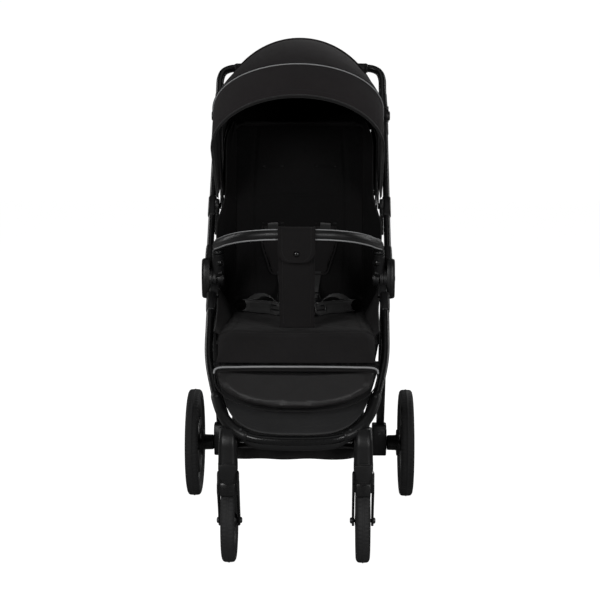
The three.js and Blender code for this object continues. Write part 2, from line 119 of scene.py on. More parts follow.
area("key", (-1.6, -3.5, 1.8), (0, 0, 0.6), (1.1, 1.4), 47)
area("fill", (2.0, -3.4, 1.4), (0, 0, 0.5), (0.9, 1.5), 36)
area("top", (0.0, -0.6, 3.2), (0, 0, 0.6), (2.0, 0.9), 3)
area("back", (1.3, 3.5, 2.3), (0, 0, 0.6), (1.2, 1.4), 20)
area("rim_l", (-2.4, 1.2, 1.5), (0, 0.1, 0.6), (0.5, 2.0), 12)
area("rim_r", (2.4, 1.2, 1.5), (0, 0.1, 0.6), (0.5, 2.0), 12)

# ------------------------------------------------------------------ materials


def material(name):
    m = bpy.data.materials.new(name)
    m.use_nodes = True
    nt = m.node_tree
    b = next(n for n in nt.nodes if n.type == "BSDF_PRINCIPLED")
    return m, nt, b


class G:
    """Short names for building node trees in object coordinates."""

    def __init__(self, nt):
        self.nt = nt
        self.tc = nt.nodes.new("ShaderNodeTexCoord")
        self.obj = self.tc.outputs["Object"]

    def n(self, kind, **kw):
        node = self.nt.nodes.new(kind)
        for k, v in kw.items():
            setattr(node, k, v)
        return node

    def link(self, a, b):
        self.nt.links.new(a, b)

    def noise(self, scale, detail=2.0, rough=0.5, vec=None, dist=0.0):
        n = self.n("ShaderNodeTexNoise")
        n.inputs["Scale"].default_value = scale
        n.inputs["Detail"].default_value = detail
        n.inputs["Roughness"].default_value = rough
        n.inputs["Distortion"].default_value = dist
        self.link(vec or self.obj, n.inputs["Vector"])
        return n.outputs["Fac"]

    def wave(self, scale, axis="X", vec=None, dist=0.0, profile="SIN"):
        n = self.n("ShaderNodeTexWave", wave_type="BANDS", bands_direction=axis, wave_profile=profile)
        n.inputs["Scale"].default_value = scale
        n.inputs["Distortion"].default_value = dist
        self.link(vec or self.obj, n.inputs["Vector"])
        return n.outputs["Fac"]

    def voronoi(self, scale, feature="F1", out="Distance", vec=None):
        n = self.n("ShaderNodeTexVoronoi", feature=feature)
        n.inputs["Scale"].default_value = scale
        self.link(vec or self.obj, n.inputs["Vector"])
        return n.outputs[out]

    def math(self, op, a, b=0.5, clamp=False):
        n = self.n("ShaderNodeMath", operation=op, use_clamp=clamp)
        for i, v in enumerate((a, b)):
            if isinstance(v, (int, float)):
                n.inputs[i].default_value = v
            elif v is not None:
                self.link(v, n.inputs[i])
        return n.outputs[0]

    def ramp(self, fac, stops):
        n = self.n("ShaderNodeValToRGB")
        el = n.color_ramp.elements
        while len(el) > 1:
            el.remove(el[-1])
        el[0].position, el[0].color = stops[0][0], (*stops[0][1], 1)
        for p, c in stops[1:]:
            e = el.new(p)
            e.color = (*c, 1)
        self.link(fac, n.inputs[0])
        return n.outputs[0]

    def rampf(self, fac, stops):
        return self.ramp(fac, [(p, (v, v, v)) for p, v in stops])

    def bump(self, height, strength, distance, normal=None):
        n = self.n("ShaderNodeBump")
        n.inputs["Strength"].default_value = strength
        n.inputs["Distance"].default_value = distance
        self.link(height, n.inputs["Height"])
        if normal is not None:
            self.link(normal, n.inputs["Normal"])
        return n.outputs[0]

    def scaled(self, s, rot=(0, 0, 0)):
        n = self.n("ShaderNodeMapping")
        n.inputs["Scale"].default_value = s
        n.inputs["Rotation"].default_value = rot
        self.link(self.obj, n.inputs["Vector"])
        return n.outputs[0]


def fabric(name, dark, light, thread=900.0, rough=0.9, sheen=0.35, bump=0.35, melange=0.5, sheen_tint=(1, 1, 1), fleck=None):
    """A plain weave in black: crossing threads, uneven yarn colour and soft creases."""
    m, nt, b = material(name)
    g = G(nt)
    diag = g.scaled((1, 1, 1), (0.0, 0.0, 0.0))
    wx = g.wave(thread * 0.5, "X", diag)
    wz = g.wave(thread * 0.5, "Z", diag)
    wy = g.wave(thread * 0.5, "Y", diag)
    weave = g.math("MULTIPLY", g.math("MAXIMUM", wx, wy), g.math("MAXIMUM", wz, 0.25))
    yarn = g.noise(thread * 1.6, 3.0, 0.7)
    big = g.noise(9.0, 3.0, 0.55)
    mix = g.math("ADD", g.math("MULTIPLY", yarn, melange), g.math("MULTIPLY", big, 1 - melange))
    col = g.ramp(mix, [(0.3, dark), (0.72, light)])
    if fleck:
        f = g.rampf(g.noise(thread * 2.6, 1.0, 0.5), [(0.64, 0.0), (0.76, 1.0)])
        mx = g.n("ShaderNodeMix", data_type="RGBA")
        g.link(f, mx.inputs[0])
        g.link(col, mx.inputs[6])
        mx.inputs[7].default_value = (*fleck, 1)
        col = mx.outputs[2]
    g.link(col, b.inputs["Base Color"])
    r = g.n("ShaderNodeMapRange")
    r.inputs[3].default_value = rough - 0.08
    r.inputs[4].default_value = min(1.0, rough + 0.06)
    g.link(mix, r.inputs[0])
    g.link(r.outputs[0], b.inputs["Roughness"])
    b.inputs["Sheen Weight"].default_value = sheen
    b.inputs["Sheen Roughness"].default_value = 0.45
    b.inputs["Sheen Tint"].default_value = (*sheen_tint, 1)
    b.inputs["Specular IOR Level"].default_value = 0.25
    crease = g.noise(38.0, 4.0, 0.6)
    nrm = g.bump(crease, 0.25, 0.004)
    nrm = g.bump(g.math("ADD", weave, g.math("MULTIPLY", yarn, 0.6)), bump, 0.0006, nrm)
    g.link(nrm, b.inputs["Normal"])
    return m


def leather(name, dark, light, grain=420.0, rough=0.42, coat=0.12, bump=0.35):
    m, nt, b = material(name)
    g = G(nt)
    cell = g.voronoi(grain, "DISTANCE_TO_EDGE")
    fine = g.noise(grain * 2.4, 3.0, 0.6)
    big = g.noise(14.0, 3.0, 0.5)
    col = g.ramp(g.math("ADD", g.math("MULTIPLY", big, 0.6), g.math("MULTIPLY", fine, 0.4)), [(0.3, dark), (0.75, light)])
    g.link(col, b.inputs["Base Color"])
    g.link(g.rampf(g.math("ADD", g.math("MULTIPLY", cell, 2.0), g.math("MULTIPLY", big, 0.5)), [(0.1, rough + 0.14), (0.8, rough - 0.05)]), b.inputs["Roughness"])
    edge = g.rampf(cell, [(0.0, 0.0), (0.22, 1.0)])
    nrm = g.bump(g.noise(30.0, 3.0, 0.5), 0.2, 0.004)
    nrm = g.bump(g.math("ADD", edge, g.math("MULTIPLY", fine, 0.5)), bump, 0.0006, nrm)
    g.link(nrm, b.inputs["Normal"])
    b.inputs["Coat Weight"].default_value = coat
    b.inputs["Coat Roughness"].default_value = 0.35
    return m


def plastic(name, dark, light, rough=0.5, grain=1500.0, bump=0.25, spec=0.5, metal=0.0):
    m, nt, b = material(name)
    g = G(nt)
    fine = g.noise(grain, 2.0, 0.6)
    big = g.noise(18.0, 4.0, 0.6)
    scuff = g.rampf(g.noise(70.0, 5.0, 0.75, dist=1.2), [(0.56, 0.0), (0.72, 1.0)])
    col = g.ramp(g.math("ADD", g.math("MULTIPLY", big, 0.7), g.math("MULTIPLY", fine, 0.3)), [(0.3, dark), (0.75, light)])
    g.link(col, b.inputs["Base Color"])
    g.link(g.math("ADD", g.rampf(g.math("ADD", g.math("MULTIPLY", big, 0.5), g.math("MULTIPLY", fine, 0.5)), [(0.3, rough - 0.06), (0.7, rough + 0.07)]), g.math("MULTIPLY", scuff, 0.06)), b.inputs["Roughness"])
    b.inputs["Specular IOR Level"].default_value = spec
    b.inputs["Metallic"].default_value = metal
    nrm = g.bump(g.voronoi(grain * 0.8), bump, 0.0003)
    g.link(nrm, b.inputs["Normal"])
    return m


def paint(name, dark, light, rough=0.34):
    """Powder coat: slight orange peel, worn a little brighter on convex edges."""
    m, nt, b = material(name)
    g = G(nt)
    peel = g.noise(650.0, 2.0, 0.5)
    big = g.noise(11.0, 4.0, 0.6)
    geo = g.n("ShaderNodeNewGeometry")
    worn = g.math("MULTIPLY", g.rampf(geo.outputs["Pointiness"], [(0.56, 0.0), (0.66, 1.0)]), g.rampf(g.noise(60.0, 5.0, 0.7), [(0.45, 0.0), (0.62, 1.0)]))
    col = g.ramp(g.math("ADD", g.math("MULTIPLY", big, 0.7), g.math("MULTIPLY", peel, 0.3)), [(0.3, dark), (0.75, light)])
    mx = g.n("ShaderNodeMix", data_type="RGBA")
    g.link(g.math("MULTIPLY", worn, 0.5), mx.inputs[0])
    g.link(col, mx.inputs[6])
    mx.inputs[7].default_value = (0.06, 0.06, 0.062, 1)
    g.link(mx.outputs[2], b.inputs["Base Color"])
    g.link(g.rampf(g.math("ADD", g.math("MULTIPLY", big, 0.5), g.math("MULTIPLY", peel, 0.5)), [(0.3, rough - 0.05), (0.7, rough + 0.07)]), b.inputs["Roughness"])
    b.inputs["Coat Weight"].default_value = 0.15
    b.inputs["Coat Roughness"].default_value = 0.2
    b.inputs["Specular IOR Level"].default_value = 0.35
    g.link(g.bump(peel, 0.18, 0.0004), b.inputs["Normal"])
    return m


def metal(name, c0, c1, rough=0.32):
    m, nt, b = material(name)
    g = G(nt)
    br = g.noise(500.0, 3.0, 0.6, g.scaled((1, 12, 1)))
    g.link(g.ramp(br, [(0.3, c0), (0.7, c1)]), b.inputs["Base Color"])
    g.link(g.rampf(br, [(0.3, rough - 0.06), (0.7, rough + 0.1)]), b.inputs["Roughness"])
    b.inputs["Metallic"].default_value = 0.95
    g.link(g.bump(br, 0.08, 0.0003), b.inputs["Normal"])
    return m


def rubber(name):
    m, nt, b = material(name)
    g = G(nt)
    fine = g.noise(900.0, 3.0, 0.65)
    big = g.noise(22.0, 4.0, 0.65)
    col = g.ramp(g.math("ADD", g.math("MULTIPLY", big, 0.65), g.math("MULTIPLY", fine, 0.35)), [(0.28, (0.012, 0.012, 0.0125)), (0.75, (0.03, 0.03, 0.031))])
    g.link(col, b.inputs["Base Color"])
    g.link(g.rampf(big, [(0.3, 0.62), (0.7, 0.78)]), b.inputs["Roughness"])
    b.inputs["Specular IOR Level"].default_value = 0.45
    g.link(g.bump(fine, 0.3, 0.0004), b.inputs["Normal"])
    return m


def webbing(name, dark, light):
    """Narrow woven tape: ribs along it and a herringbone across."""
    m, nt, b = material(name)
    g = G(nt)
    ribs = g.wave(330.0, "X")
    cross = g.wave(420.0, "DIAGONAL")
    yarn = g.noise(1500.0, 2.0, 0.6)
    h = g.math("ADD", g.math("MULTIPLY", ribs, 0.5), g.math("MULTIPLY", cross, 0.5))
    g.link(g.ramp(g.math("ADD", g.math("MULTIPLY", h, 0.6), g.math("MULTIPLY", yarn, 0.4)), [(0.25, dark), (0.8, light)]), b.inputs["Base Color"])
    g.link(g.rampf(h, [(0.2, 0.72), (0.8, 0.86)]), b.inputs["Roughness"])
    b.inputs["Sheen Weight"].default_value = 0.3
    g.link(g.bump(h, 0.5, 0.0006), b.inputs["Normal"])
    return m


MAT = {
    "canopy": fabric("canopy_fabric", (0.0165, 0.0140, 0.0147), (0.0285, 0.0248, 0.0260), thread=820, rough=0.95, sheen=0.05, bump=0.35, fleck=(0.045, 0.040, 0.041)),
    "lining": fabric("canopy_lining", (0.0045, 0.0042, 0.0045), (0.009, 0.0085, 0.009), thread=1100, rough=0.95, sheen=0.06, bump=0.25),
    "seat": fabric("seat_fabric", (0.0105, 0.0096, 0.0099), (0.0195, 0.018, 0.0186), thread=760, rough=0.94, sheen=0.03, bump=0.45),
    "back": fabric("backrest_fabric", (0.0018, 0.0016, 0.0017), (0.0045, 0.0041, 0.0043), thread=760, rough=0.97, sheen=0.01, bump=0.4),
    "strap": fabric("strap_fabric", (0.0085, 0.0078, 0.0080), (0.0165, 0.015, 0.0155), thread=900, rough=0.93, sheen=0.03, bump=0.4),
    "basket": fabric("basket_fabric", (0.008, 0.0075, 0.0075), (0.016, 0.015, 0.015), thread=600, rough=0.9, sheen=0.12, bump=0.5),
    "binding": fabric("binding_tape", (0.006, 0.006, 0.006), (0.012, 0.0115, 0.012), thread=1300, rough=0.85, sheen=0.15, bump=0.4),
    "leather": leather("bumper_leather", (0.0045, 0.0045, 0.0047), (0.0085, 0.0085, 0.009), grain=520, rough=0.36, coat=0.05, bump=0.16),
    "leg": leather("leg_rest_coated", (0.0135, 0.0125, 0.0128), (0.021, 0.0198, 0.0202), grain=700, rough=0.44, coat=0.06, bump=0.25),
    "panel": leather("panel_coated", (0.022, 0.022, 0.0225), (0.036, 0.036, 0.037), grain=600, rough=0.55, coat=0.0, bump=0.3),
    # light grey piping colour; on the bumper bar the same colour paints highlight lines along its edges
    "piping": fabric("reflective_piping_and_painted_highlight", (0.30, 0.305, 0.31), (0.46, 0.465, 0.47), thread=1600, rough=0.5, sheen=0.0, bump=0.3, melange=0.4),
    "thread": fabric("stitching_thread", (0.02, 0.02, 0.02), (0.045, 0.044, 0.045), thread=2400, rough=0.7, sheen=0.1, bump=0.3),
    "plastic": plastic("moulded_black", (0.005, 0.005, 0.0053), (0.0105, 0.0105, 0.011), rough=0.38, spec=0.42),
    "satin": plastic("satin_black", (0.004, 0.004, 0.0042), (0.008, 0.008, 0.0083), rough=0.27, grain=900, bump=0.08),
    "paint": paint("powder_coat_black", (0.0042, 0.0042, 0.0045), (0.0085, 0.0085, 0.009), rough=0.27),
    "steel": metal("zinc_steel", (0.07, 0.071, 0.073), (0.13, 0.132, 0.135)),
    "snap": plastic("snap_black", (0.004, 0.004, 0.004), (0.008, 0.008, 0.008), rough=0.16, grain=500, bump=0.03),
    "tyre": rubber("tyre_rubber"),
    "web": webbing("harness_webbing", (0.0045, 0.0045, 0.0047), (0.012, 0.012, 0.0122)),
}

# floor: one pale sheet, bright enough to run into the white of the world
fm, fnt, fb = material("floor_pale")
fg = G(fnt)
fg.link(fg.ramp(fg.noise(1.3, 3.0, 0.5), [(0.3, (0.4, 0.4, 0.4)), (0.7, (0.43, 0.43, 0.43))]), fb.inputs["Base Color"])
fb.inputs["Roughness"].default_value = 0.9
fb.inputs["Specular IOR Level"].default_value = 0.0
flp = fg.n("ShaderNodeLightPath")
fem = fg.n("ShaderNodeEmission")
fem.inputs[0].default_value = (1, 1, 1, 1)
fg.link(fg.math("MULTIPLY", flp.outputs["Is Camera Ray"], 0.985), fem.inputs[1])
fadd = fg.n("ShaderNodeAddShader")
fg.link(fb.outputs[0], fadd.inputs[0])
fg.link(fem.outputs[0], fadd.inputs[1])
fout = next(n for n in fnt.nodes if n.type == "OUTPUT_MATERIAL")
fg.link(fadd.outputs[0], fout.inputs[0])
verts = [(-9, -9, -0.0005), (9, -9, -0.0005), (9, 9, -0.0005), (-9, 9, -0.0005)]
fme = bpy.data.meshes.new("floor")
fme.from_pydata(verts, [], [(0, 1, 2, 3)])
floor = bpy.data.objects.new("floor", fme)
scene.collection.objects.link(floor)
floor.data.materials.append(fm)

# ------------------------------------------------------------------ mesh helpers


def new_obj(name, verts, faces, mat, smooth=True):
    me = bpy.data.meshes.new(name)
    me.from_pydata([tuple(v) for v in verts], [], faces)
    me.validate()
    bm = bmesh.new()
    bm.from_mesh(me)
    bmesh.ops.recalc_face_normals(bm, faces=bm.faces)
    bm.to_mesh(me)
    bm.free()
    if smooth:
        for p in me.polygons:
            p.use_smooth = True
    o = bpy.data.objects.new(name, me)
    scene.collection.objects.link(o)
    me.materials.append(MAT[mat] if isinstance(mat, str) else mat)
    return o


def apply_mods(o):
    dg = bpy.context.evaluated_depsgraph_get()
    me = bpy.data.meshes.new_from_object(o.evaluated_get(dg), preserve_all_data_layers=True, depsgraph=dg)
    o.modifiers.clear()
    old = o.data
    o.data = me
    bpy.data.meshes.remove(old)
    return o


def bevel(o, width, seg=3, angle=30, apply=True):
    m = o.modifiers.new("bevel", "BEVEL")
    m.width = width
    m.segments = seg
    m.limit_method = "ANGLE"
    m.angle_limit = math.radians(angle)
    m.harden_normals = False
    if apply:
        apply_mods(o)
    for p in o.data.polygons:
        p.use_smooth = True
    sharp(o)
    return o


def sharp(o, angle=38):
    """Marks edges sharper than the angle so that smooth shading stays clean on hard parts."""
    bm = bmesh.new()
    bm.from_mesh(o.data)
    lim = math.radians(angle)
    for e in bm.edges:
        if len(e.link_faces) == 2:
            e.smooth = e.calc_face_angle(0) < lim
    bm.to_mesh(o.data)
    bm.free()
    for p in o.data.polygons:
        p.use_smooth = True
    return o


def subsurf(o, levels=1, apply=True):
    m = o.modifiers.new("sub", "SUBSURF")
    m.levels = m.render_levels = levels
    if apply:
        apply_mods(o)
        for p in o.data.polygons:
            p.use_smooth = True
    return o


def join(name, objs):
    bm = bmesh.new()
    mats = []
    for o in objs:
        tmp = bmesh.new()
        tmp.from_mesh(o.data)
        tmp.transform(o.matrix_world)
        mp = {}
        for i, m in enumerate(o.data.materials):
            if m not in mats:
                mats.append(m)
            mp[i] = mats.index(m)
        for f in tmp.faces:
            f.material_index = mp.get(f.material_index, 0)
        t = bpy.data.meshes.new("t")
        tmp.to_mesh(t)
        tmp.free()
        bm.from_mesh(t)
        bpy.data.meshes.remove(t)
    me = bpy.data.meshes.new(name)
    bm.to_mesh(me)
    bm.free()
    for m in mats:
        me.materials.append(m)
    for o in objs:
        bpy.data.objects.remove(o)
    r = bpy.data.objects.new(name, me)
    scene.collection.objects.link(r)
    return r


def boolean(a, b, op="DIFFERENCE"):
    m = a.modifiers.new("b", "BOOLEAN")
    m.operation = op
    m.object = b
    m.solver = "EXACT"
    bpy.context.view_layer.update()
    apply_mods(a)
    bpy.data.objects.remove(b)
    return a


def mirrored(o, name):
    me = o.data.copy()
    for v in me.vertices:
        v.co.x = -v.co.x
    me.flip_normals()
    r = bpy.data.objects.new(name, me)
    scene.collection.objects.link(r)
    if "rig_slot" in o:
        r["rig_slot"] = o["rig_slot"]
    return r


def catmull(pts, n, closed=False):
    """n points, evenly spaced, on a centripetal Catmull-Rom line through pts."""
    P = [np.array(p, float) for p in pts]
    out = []
    m = len(P)
    for i in range(m if closed else m - 1):
        if closed:
            p0, p1, p2, p3 = P[(i - 1) % m], P[i], P[(i + 1) % m], P[(i + 2) % m]
        else:
            p1, p2 = P[i], P[i + 1]
            p0 = P[i - 1] if i else 2 * p1 - p2
            p3 = P[i + 2] if i + 2 < m else 2 * p2 - p1
        t0 = 0.0
        t1 = t0 + max(1e-6, np.linalg.norm(p1 - p0) ** 0.5)
        t2 = t1 + max(1e-6, np.linalg.norm(p2 - p1) ** 0.5)
        t3 = t2 + max(1e-6, np.linalg.norm(p3 - p2) ** 0.5)
        for k in range(24):
            t = t1 + (t2 - t1) * k / 24
            a1 = (t1 - t) / (t1 - t0) * p0 + (t - t0) / (t1 - t0) * p1
            a2 = (t2 - t) / (t2 - t1) * p1 + (t - t1) / (t2 - t1) * p2
            a3 = (t3 - t) / (t3 - t2) * p2 + (t - t2) / (t3 - t2) * p3
            b1 = (t2 - t) / (t2 - t0) * a1 + (t - t0) / (t2 - t0) * a2
            b2 = (t3 - t) / (t3 - t1) * a2 + (t - t1) / (t3 - t1) * a3
            out.append((t2 - t) / (t2 - t1) * b1 + (t - t1) / (t2 - t1) * b2)
    out.append(P[0] if closed else P[-1])
    out = np.array(out)
    s = np.r_[0, np.cumsum(np.linalg.norm(np.diff(out, axis=0), axis=1))]
    q = np.linspace(0, s[-1], n + (1 if closed else 0))
    r = np.stack([np.interp(q, s, out[:, k]) for k in range(3)], 1)
    return r[:-1] if closed else r


def frames(path, up=(0, 0, 1), closed=False):
    """Tangent, side and up vectors along a path; side stays across `up` and doesn't twist."""
    path = np.asarray(path, float)
    if closed:
        t = np.roll(path, -1, 0) - np.roll(path, 1, 0)
    else:
        t = np.gradient(path, axis=0)
    t /= np.linalg.norm(t, axis=1)[:, None]
    s = np.zeros_like(t)
    u = np.array(up, float)
    prev = None
    for i in range(len(t)):
        if prev is None:
            v = np.cross(t[i], u)
            if np.linalg.norm(v) < 1e-3:
                v = np.cross(t[i], (1.0, 0, 0))
        else:
            v = prev - t[i] * np.dot(prev, t[i])
        v /= np.linalg.norm(v)
        s[i] = prev = v
    return t, s, np.cross(s, t)


def sweep(name, path, mat, section, closed=False, up=(0, 0, 1), scale=None, caps=True, rnd=0.0):
    """A section (list of (a, b) in metres, across and up) carried along a path in metres."""
    path = np.asarray(path, float)
    t, s, u = frames(path, up, closed)
    sec = np.asarray(section, float)
    k = len(sec)
    verts = []
    sc = np.ones((len(path), 2)) if scale is None else np.asarray(scale, float).reshape(len(path), -1)
    if sc.shape[1] == 1:
        sc = np.repeat(sc, 2, 1)
    rows = [(path[i], s[i], u[i], sc[i], 0.0, t[i]) for i in range(len(path))]
    if rnd and not closed:          # rounded ends
        r0 = float(np.abs(sec).max()) * rnd
        head = [(path[0], s[0], u[0], sc[0] * math.cos(a), -r0 * math.sin(a), t[0]) for a in (1.45, 1.1, 0.75, 0.4)]
        tail = [(path[-1], s[-1], u[-1], sc[-1] * math.cos(a), r0 * math.sin(a), t[-1]) for a in (0.4, 0.75, 1.1, 1.45)]
        rows = head + rows + tail
    for p, a, b, q, off, tt in rows:
        for x, y in sec:
            verts.append(p + a * x * q[0] + b * y * q[1] + tt * off)
    faces = []
    m = len(rows)
    for i in range(m if closed else m - 1):
        j = (i + 1) % m
        for e in range(k):
            f = (e + 1) % k
            faces.append((i * k + e, i * k + f, j * k + f, j * k + e))
    if caps and not closed:
        faces.append(tuple(range(k))[::-1])
        faces.append(tuple((m - 1) * k + e for e in range(k)))
    return new_obj(name, verts, faces, mat)


def circle(r, n=28, ry=None):
    return [(r * math.cos(2 * math.pi * i / n), (ry or r) * math.sin(2 * math.pi * i / n)) for i in range(n)]


def rrect(w, h, r, n=5):
    pts = []
    for sx, sy, a in ((1, 1, 0), (-1, 1, 90), (-1, -1, 180), (1, -1, 270)):
        for i in range(n + 1):
            t = math.radians(a + 90 * i / n)
            pts.append((sx * (w / 2 - r) + r * math.cos(t), sy * (h / 2 - r) + r * math.sin(t)))
    return pts


def mm(pts):
    return [D(*p) for p in pts]


def lathe_x(name, prof, y, z, mat, n=72, closed=False):
    """prof: (radius, x) in mm; turned about the X axis through (y, z)."""
    verts, faces = [], []
    k = len(prof)
    for i in range(n):
        a = 2 * math.pi * i / n
        for r, x in prof:
            verts.append(D(x, y + r * math.cos(a), z + r * math.sin(a)))
    for i in range(n):
        j = (i + 1) % n
        for e in range(k if closed else k - 1):
            f = (e + 1) % k
            faces.append((i * k + e, i * k + f, j * k + f, j * k + e))
    o = new_obj(name, verts, faces, mat)
    bm = bmesh.new()
    bm.from_mesh(o.data)
    bmesh.ops.remove_doubles(bm, verts=bm.verts, dist=1e-6)
    bmesh.ops.recalc_face_normals(bm, faces=bm.faces)
    bm.to_mesh(o.data)
    bm.free()
    return sharp(o)


def lathe_z(name, prof, x, y, mat, n=56):
    verts, faces = [], []
    k = len(prof)
    for i in range(n):
        a = 2 * math.pi * i / n
        for r, z in prof:
            verts.append(D(x + r * math.cos(a), y + r * math.sin(a), z))
    for i in range(n):
        j = (i + 1) % n
        for e in range(k - 1):
            faces.append((i * k + e, i * k + e + 1, j * k + e + 1, j * k + e))
    o = new_obj(name, verts, faces, mat)
    bm = bmesh.new()
    bm.from_mesh(o.data)
    bmesh.ops.remove_doubles(bm, verts=bm.verts, dist=1e-6)
    bmesh.ops.recalc_face_normals(bm, faces=bm.faces)
    bm.to_mesh(o.data)
    bm.free()
    return sharp(o)


def prism(name, pts, lo, hi, axis, mat, bev=0.0, seg=3):
    """A flat outline in mm pushed from lo to hi along an axis, with rounded edges."""
    def at(p, h):
        return {"X": D(h, p[0], p[1]), "Y": D(p[0], h, p[1]), "Z": D(p[0], p[1], h)}[axis]
    n = len(pts)
    verts = [at(p, lo) for p in pts] + [at(p, hi) for p in pts]
    faces = [tuple(range(n)), tuple(range(2 * n - 1, n - 1, -1))]
    faces += [(i, (i + 1) % n, n + (i + 1) % n, n + i) for i in range(n)]
    o = new_obj(name, verts, faces, mat)
    if bev:
        bevel(o, bev / 1000, seg, 35)
    else:
        sharp(o)
    return o


def grid(name, f, nu, nv, mat, closed_u=False):
    """A surface from f(i/nu, j/nv) -> point in metres."""
    verts, faces = [], []
    cu = nu if closed_u else nu + 1
    for j in range(nv + 1):
        for i in range(cu):
            verts.append(f(i / nu, j / nv))
    for j in range(nv):
        for i in range(nu):
            a, b = j * cu + i, j * cu + (i + 1) % cu
            faces.append((a, b, b + cu, a + cu))
    return new_obj(name, verts, faces, mat)


def solidify(o, t, offset=0.0, apply=True):
    m = o.modifiers.new("solid", "SOLIDIFY")
    m.thickness = t
    m.offset = offset
    m.use_even_offset = True
    if apply:
        apply_mods(o)
        for p in o.data.polygons:
            p.use_smooth = True
    return o


def disc_x(name, r, x0, x1, y, z, mat, b=0.8, n=48):
    return lathe_x(name, [(0, x0), (r - b, x0), (r - b * 0.3, x0 + b * 0.3), (r, x0 + b), (r, x1 - b), (r - b * 0.3, x1 - b * 0.3), (r - b, x1), (0, x1)], y, z, mat, n)


def both(o, stem, body, *nodes, sides=("r", "l")):
    """Names a right-hand piece, mirrors it and puts both on their bodies in place of the CAD nodes."""
    o.name = stem + "_r"
    m = mirrored(o, stem + "_l")
    for side, piece in (("r", o), ("l", m)):
        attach(piece, body.replace("*", side))
        if nodes:
            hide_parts(*[n.replace("*", side) for n in nodes])
    return o, m


def put(o, body, *nodes, slot=None):
    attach(o, body)
    if nodes:
        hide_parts(*nodes)
    if slot:
        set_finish(o, slot)
    return o


def stitches(name, path, mat="thread", pitch=0.0042, length=0.0028, r=0.00038, normal=None, lift=0.0):
    """A row of short thread stitches along a path; the normal argument is not used."""
    path = np.asarray(path, float)
    s = np.r_[0, np.cumsum(np.linalg.norm(np.diff(path, axis=0), axis=1))]
    n = max(1, int(s[-1] / pitch))
    verts, faces = [], []
    for i in range(n):
        a, b = i * pitch, i * pitch + length
        pa = np.array([np.interp(a, s, path[:, k]) for k in range(3)])
        pb = np.array([np.interp(b, s, path[:, k]) for k in range(3)])
        if np.linalg.norm(pb - pa) < 1e-6:
            continue
        t = (pb - pa) / np.linalg.norm(pb - pa)
        v = np.cross(t, (0, 0, 1.0))
        if np.linalg.norm(v) < 1e-3:
            v = np.cross(t, (1.0, 0, 0))
        v /= np.linalg.norm(v)
        w = np.cross(v, t)
        base = len(verts)
        for q, k in ((pa, 0.35), (pa + t * length * 0.25, 1.0), (pb - t * length * 0.25, 1.0), (pb, 0.35)):
            for e in range(5):
                c = 2 * math.pi * e / 5
                verts.append(q + (v * math.cos(c) + w * math.sin(c)) * r * k)
        for j in range(3):
            for e in range(5):
                f = (e + 1) % 5
                faces.append((base + j * 5 + e, base + j * 5 + f, base + (j + 1) * 5 + f, base + (j + 1) * 5 + e))
        faces.append(tuple(base + e for e in range(5))[::-1])
        faces.append(tuple(base + 15 + e for e in range(5)))
    return new_obj(name, verts, faces, mat)


# ------------------------------------------------------------------ frame tubes
def on_frame(x, y):
    return (x, y, HINGE[1] + (y - HINGE[0]) * SLOPE)


bend = [(194, -27), (193.5, -100), (191, -165), (180, -218), (154, -291), (125, -322), (90, -337), (45, -342), (0, -343)]
loop_mm = [on_frame(x, y) for x, y in bend] + [on_frame(-x, y) for x, y in reversed(bend[:-1])]
LOOP = catmull(mm(loop_mm), 181)
FRAME_N = np.array([0, -SLOPE, 1.0]) / math.hypot(1, SLOPE)      # out of the loop's plane, up and forward
low = sweep("lower_frame", LOOP, "paint", rrect(0.0188, 0.0188, 0.0088, 7), up=FRAME_N)
put(low, "front_frame", "lower_frame_tube", slot="paint")

# rear legs
ha = np.array([0, 267 - HINGE[0], 182 - HINGE[1]])
ha = ha / np.linalg.norm(ha)
LEG_L = math.hypot(267 - HINGE[0], 182 - HINGE[1])
leg = sweep("t", mm([(196, HINGE[0] + ha[1] * s, HINGE[1] + ha[2] * s) for s in np.linspace(46, LEG_L + 6, 10)]), "paint", circle(0.0098, 32), rnd=0.3)
neck = sweep("t2", mm([(195.8, HINGE[0] + ha[1] * s, HINGE[1] + ha[2] * s) for s in np.linspace(4, 62, 6)]), "plastic", rrect(0.0075, 0.018, 0.002, 3), up=(1, 0, 0), rnd=0.1)
collar = sweep("t3", mm([(196, HINGE[0] + ha[1] * s, HINGE[1] + ha[2] * s) for s in (46, 47.5, 60, 62, 70, 71)]), "plastic", circle(0.0112, 32), scale=[0.9, 1, 1, 0.97, 0.95, 0.88])
d2 = disc_x("t4", 23, 192.1, 199.6, *HINGE, "plastic", 0.8)
rear_leg = join("rear_leg", [leg, neck, collar, d2])
both(rear_leg, "rear_leg_tube", "rear_frame", "rear_leg_*")

# upper frame tubes with the inner half of the tilt joint
tv = np.array([0, TILT[0] - HINGE[0], TILT[1] - HINGE[1]])
TL = float(np.linalg.norm(tv))
tv = tv / TL


def up_at(s, x=203.5, off=0.0):
    return (x, HINGE[0] + tv[1] * s - tv[2] * off, HINGE[1] + tv[2] * s + tv[1] * off)


ut = sweep("t", mm([up_at(s) for s in np.linspace(34, TL - 19, 16)]), "paint", circle(0.0080, 32), rnd=0.3)
sock = sweep("t1", mm([up_at(s) for s in (27, 30, 66, 84, 90)]), "plastic", rrect(0.0178, 0.0205, 0.0075, 5), up=(1, 0, 0), scale=[0.86, 1.0, 0.98, 0.93, 0.86])
tipc = sweep("t5", mm([up_at(s) for s in (TL - 60, TL - 58, TL - 30, TL - 18)]), "plastic", circle(0.0092, 32), scale=[0.9, 1, 1.0, 0.92])
nk = sweep("t6", mm([up_at(s, 199) for s in (TL - 34, TL - 8)]), "plastic", rrect(0.014, 0.0085, 0.002, 3), up=(1, 0, 0))
dd = disc_x("t7", 17.5, 192, 203, *TILT, "plastic", 1.6)
cap = lathe_x("t8", [(0, 190.2), (6.0, 190.2), (7.0, 190.8), (7.2, 192.2), (0, 192.2)], *TILT, "satin", 32)
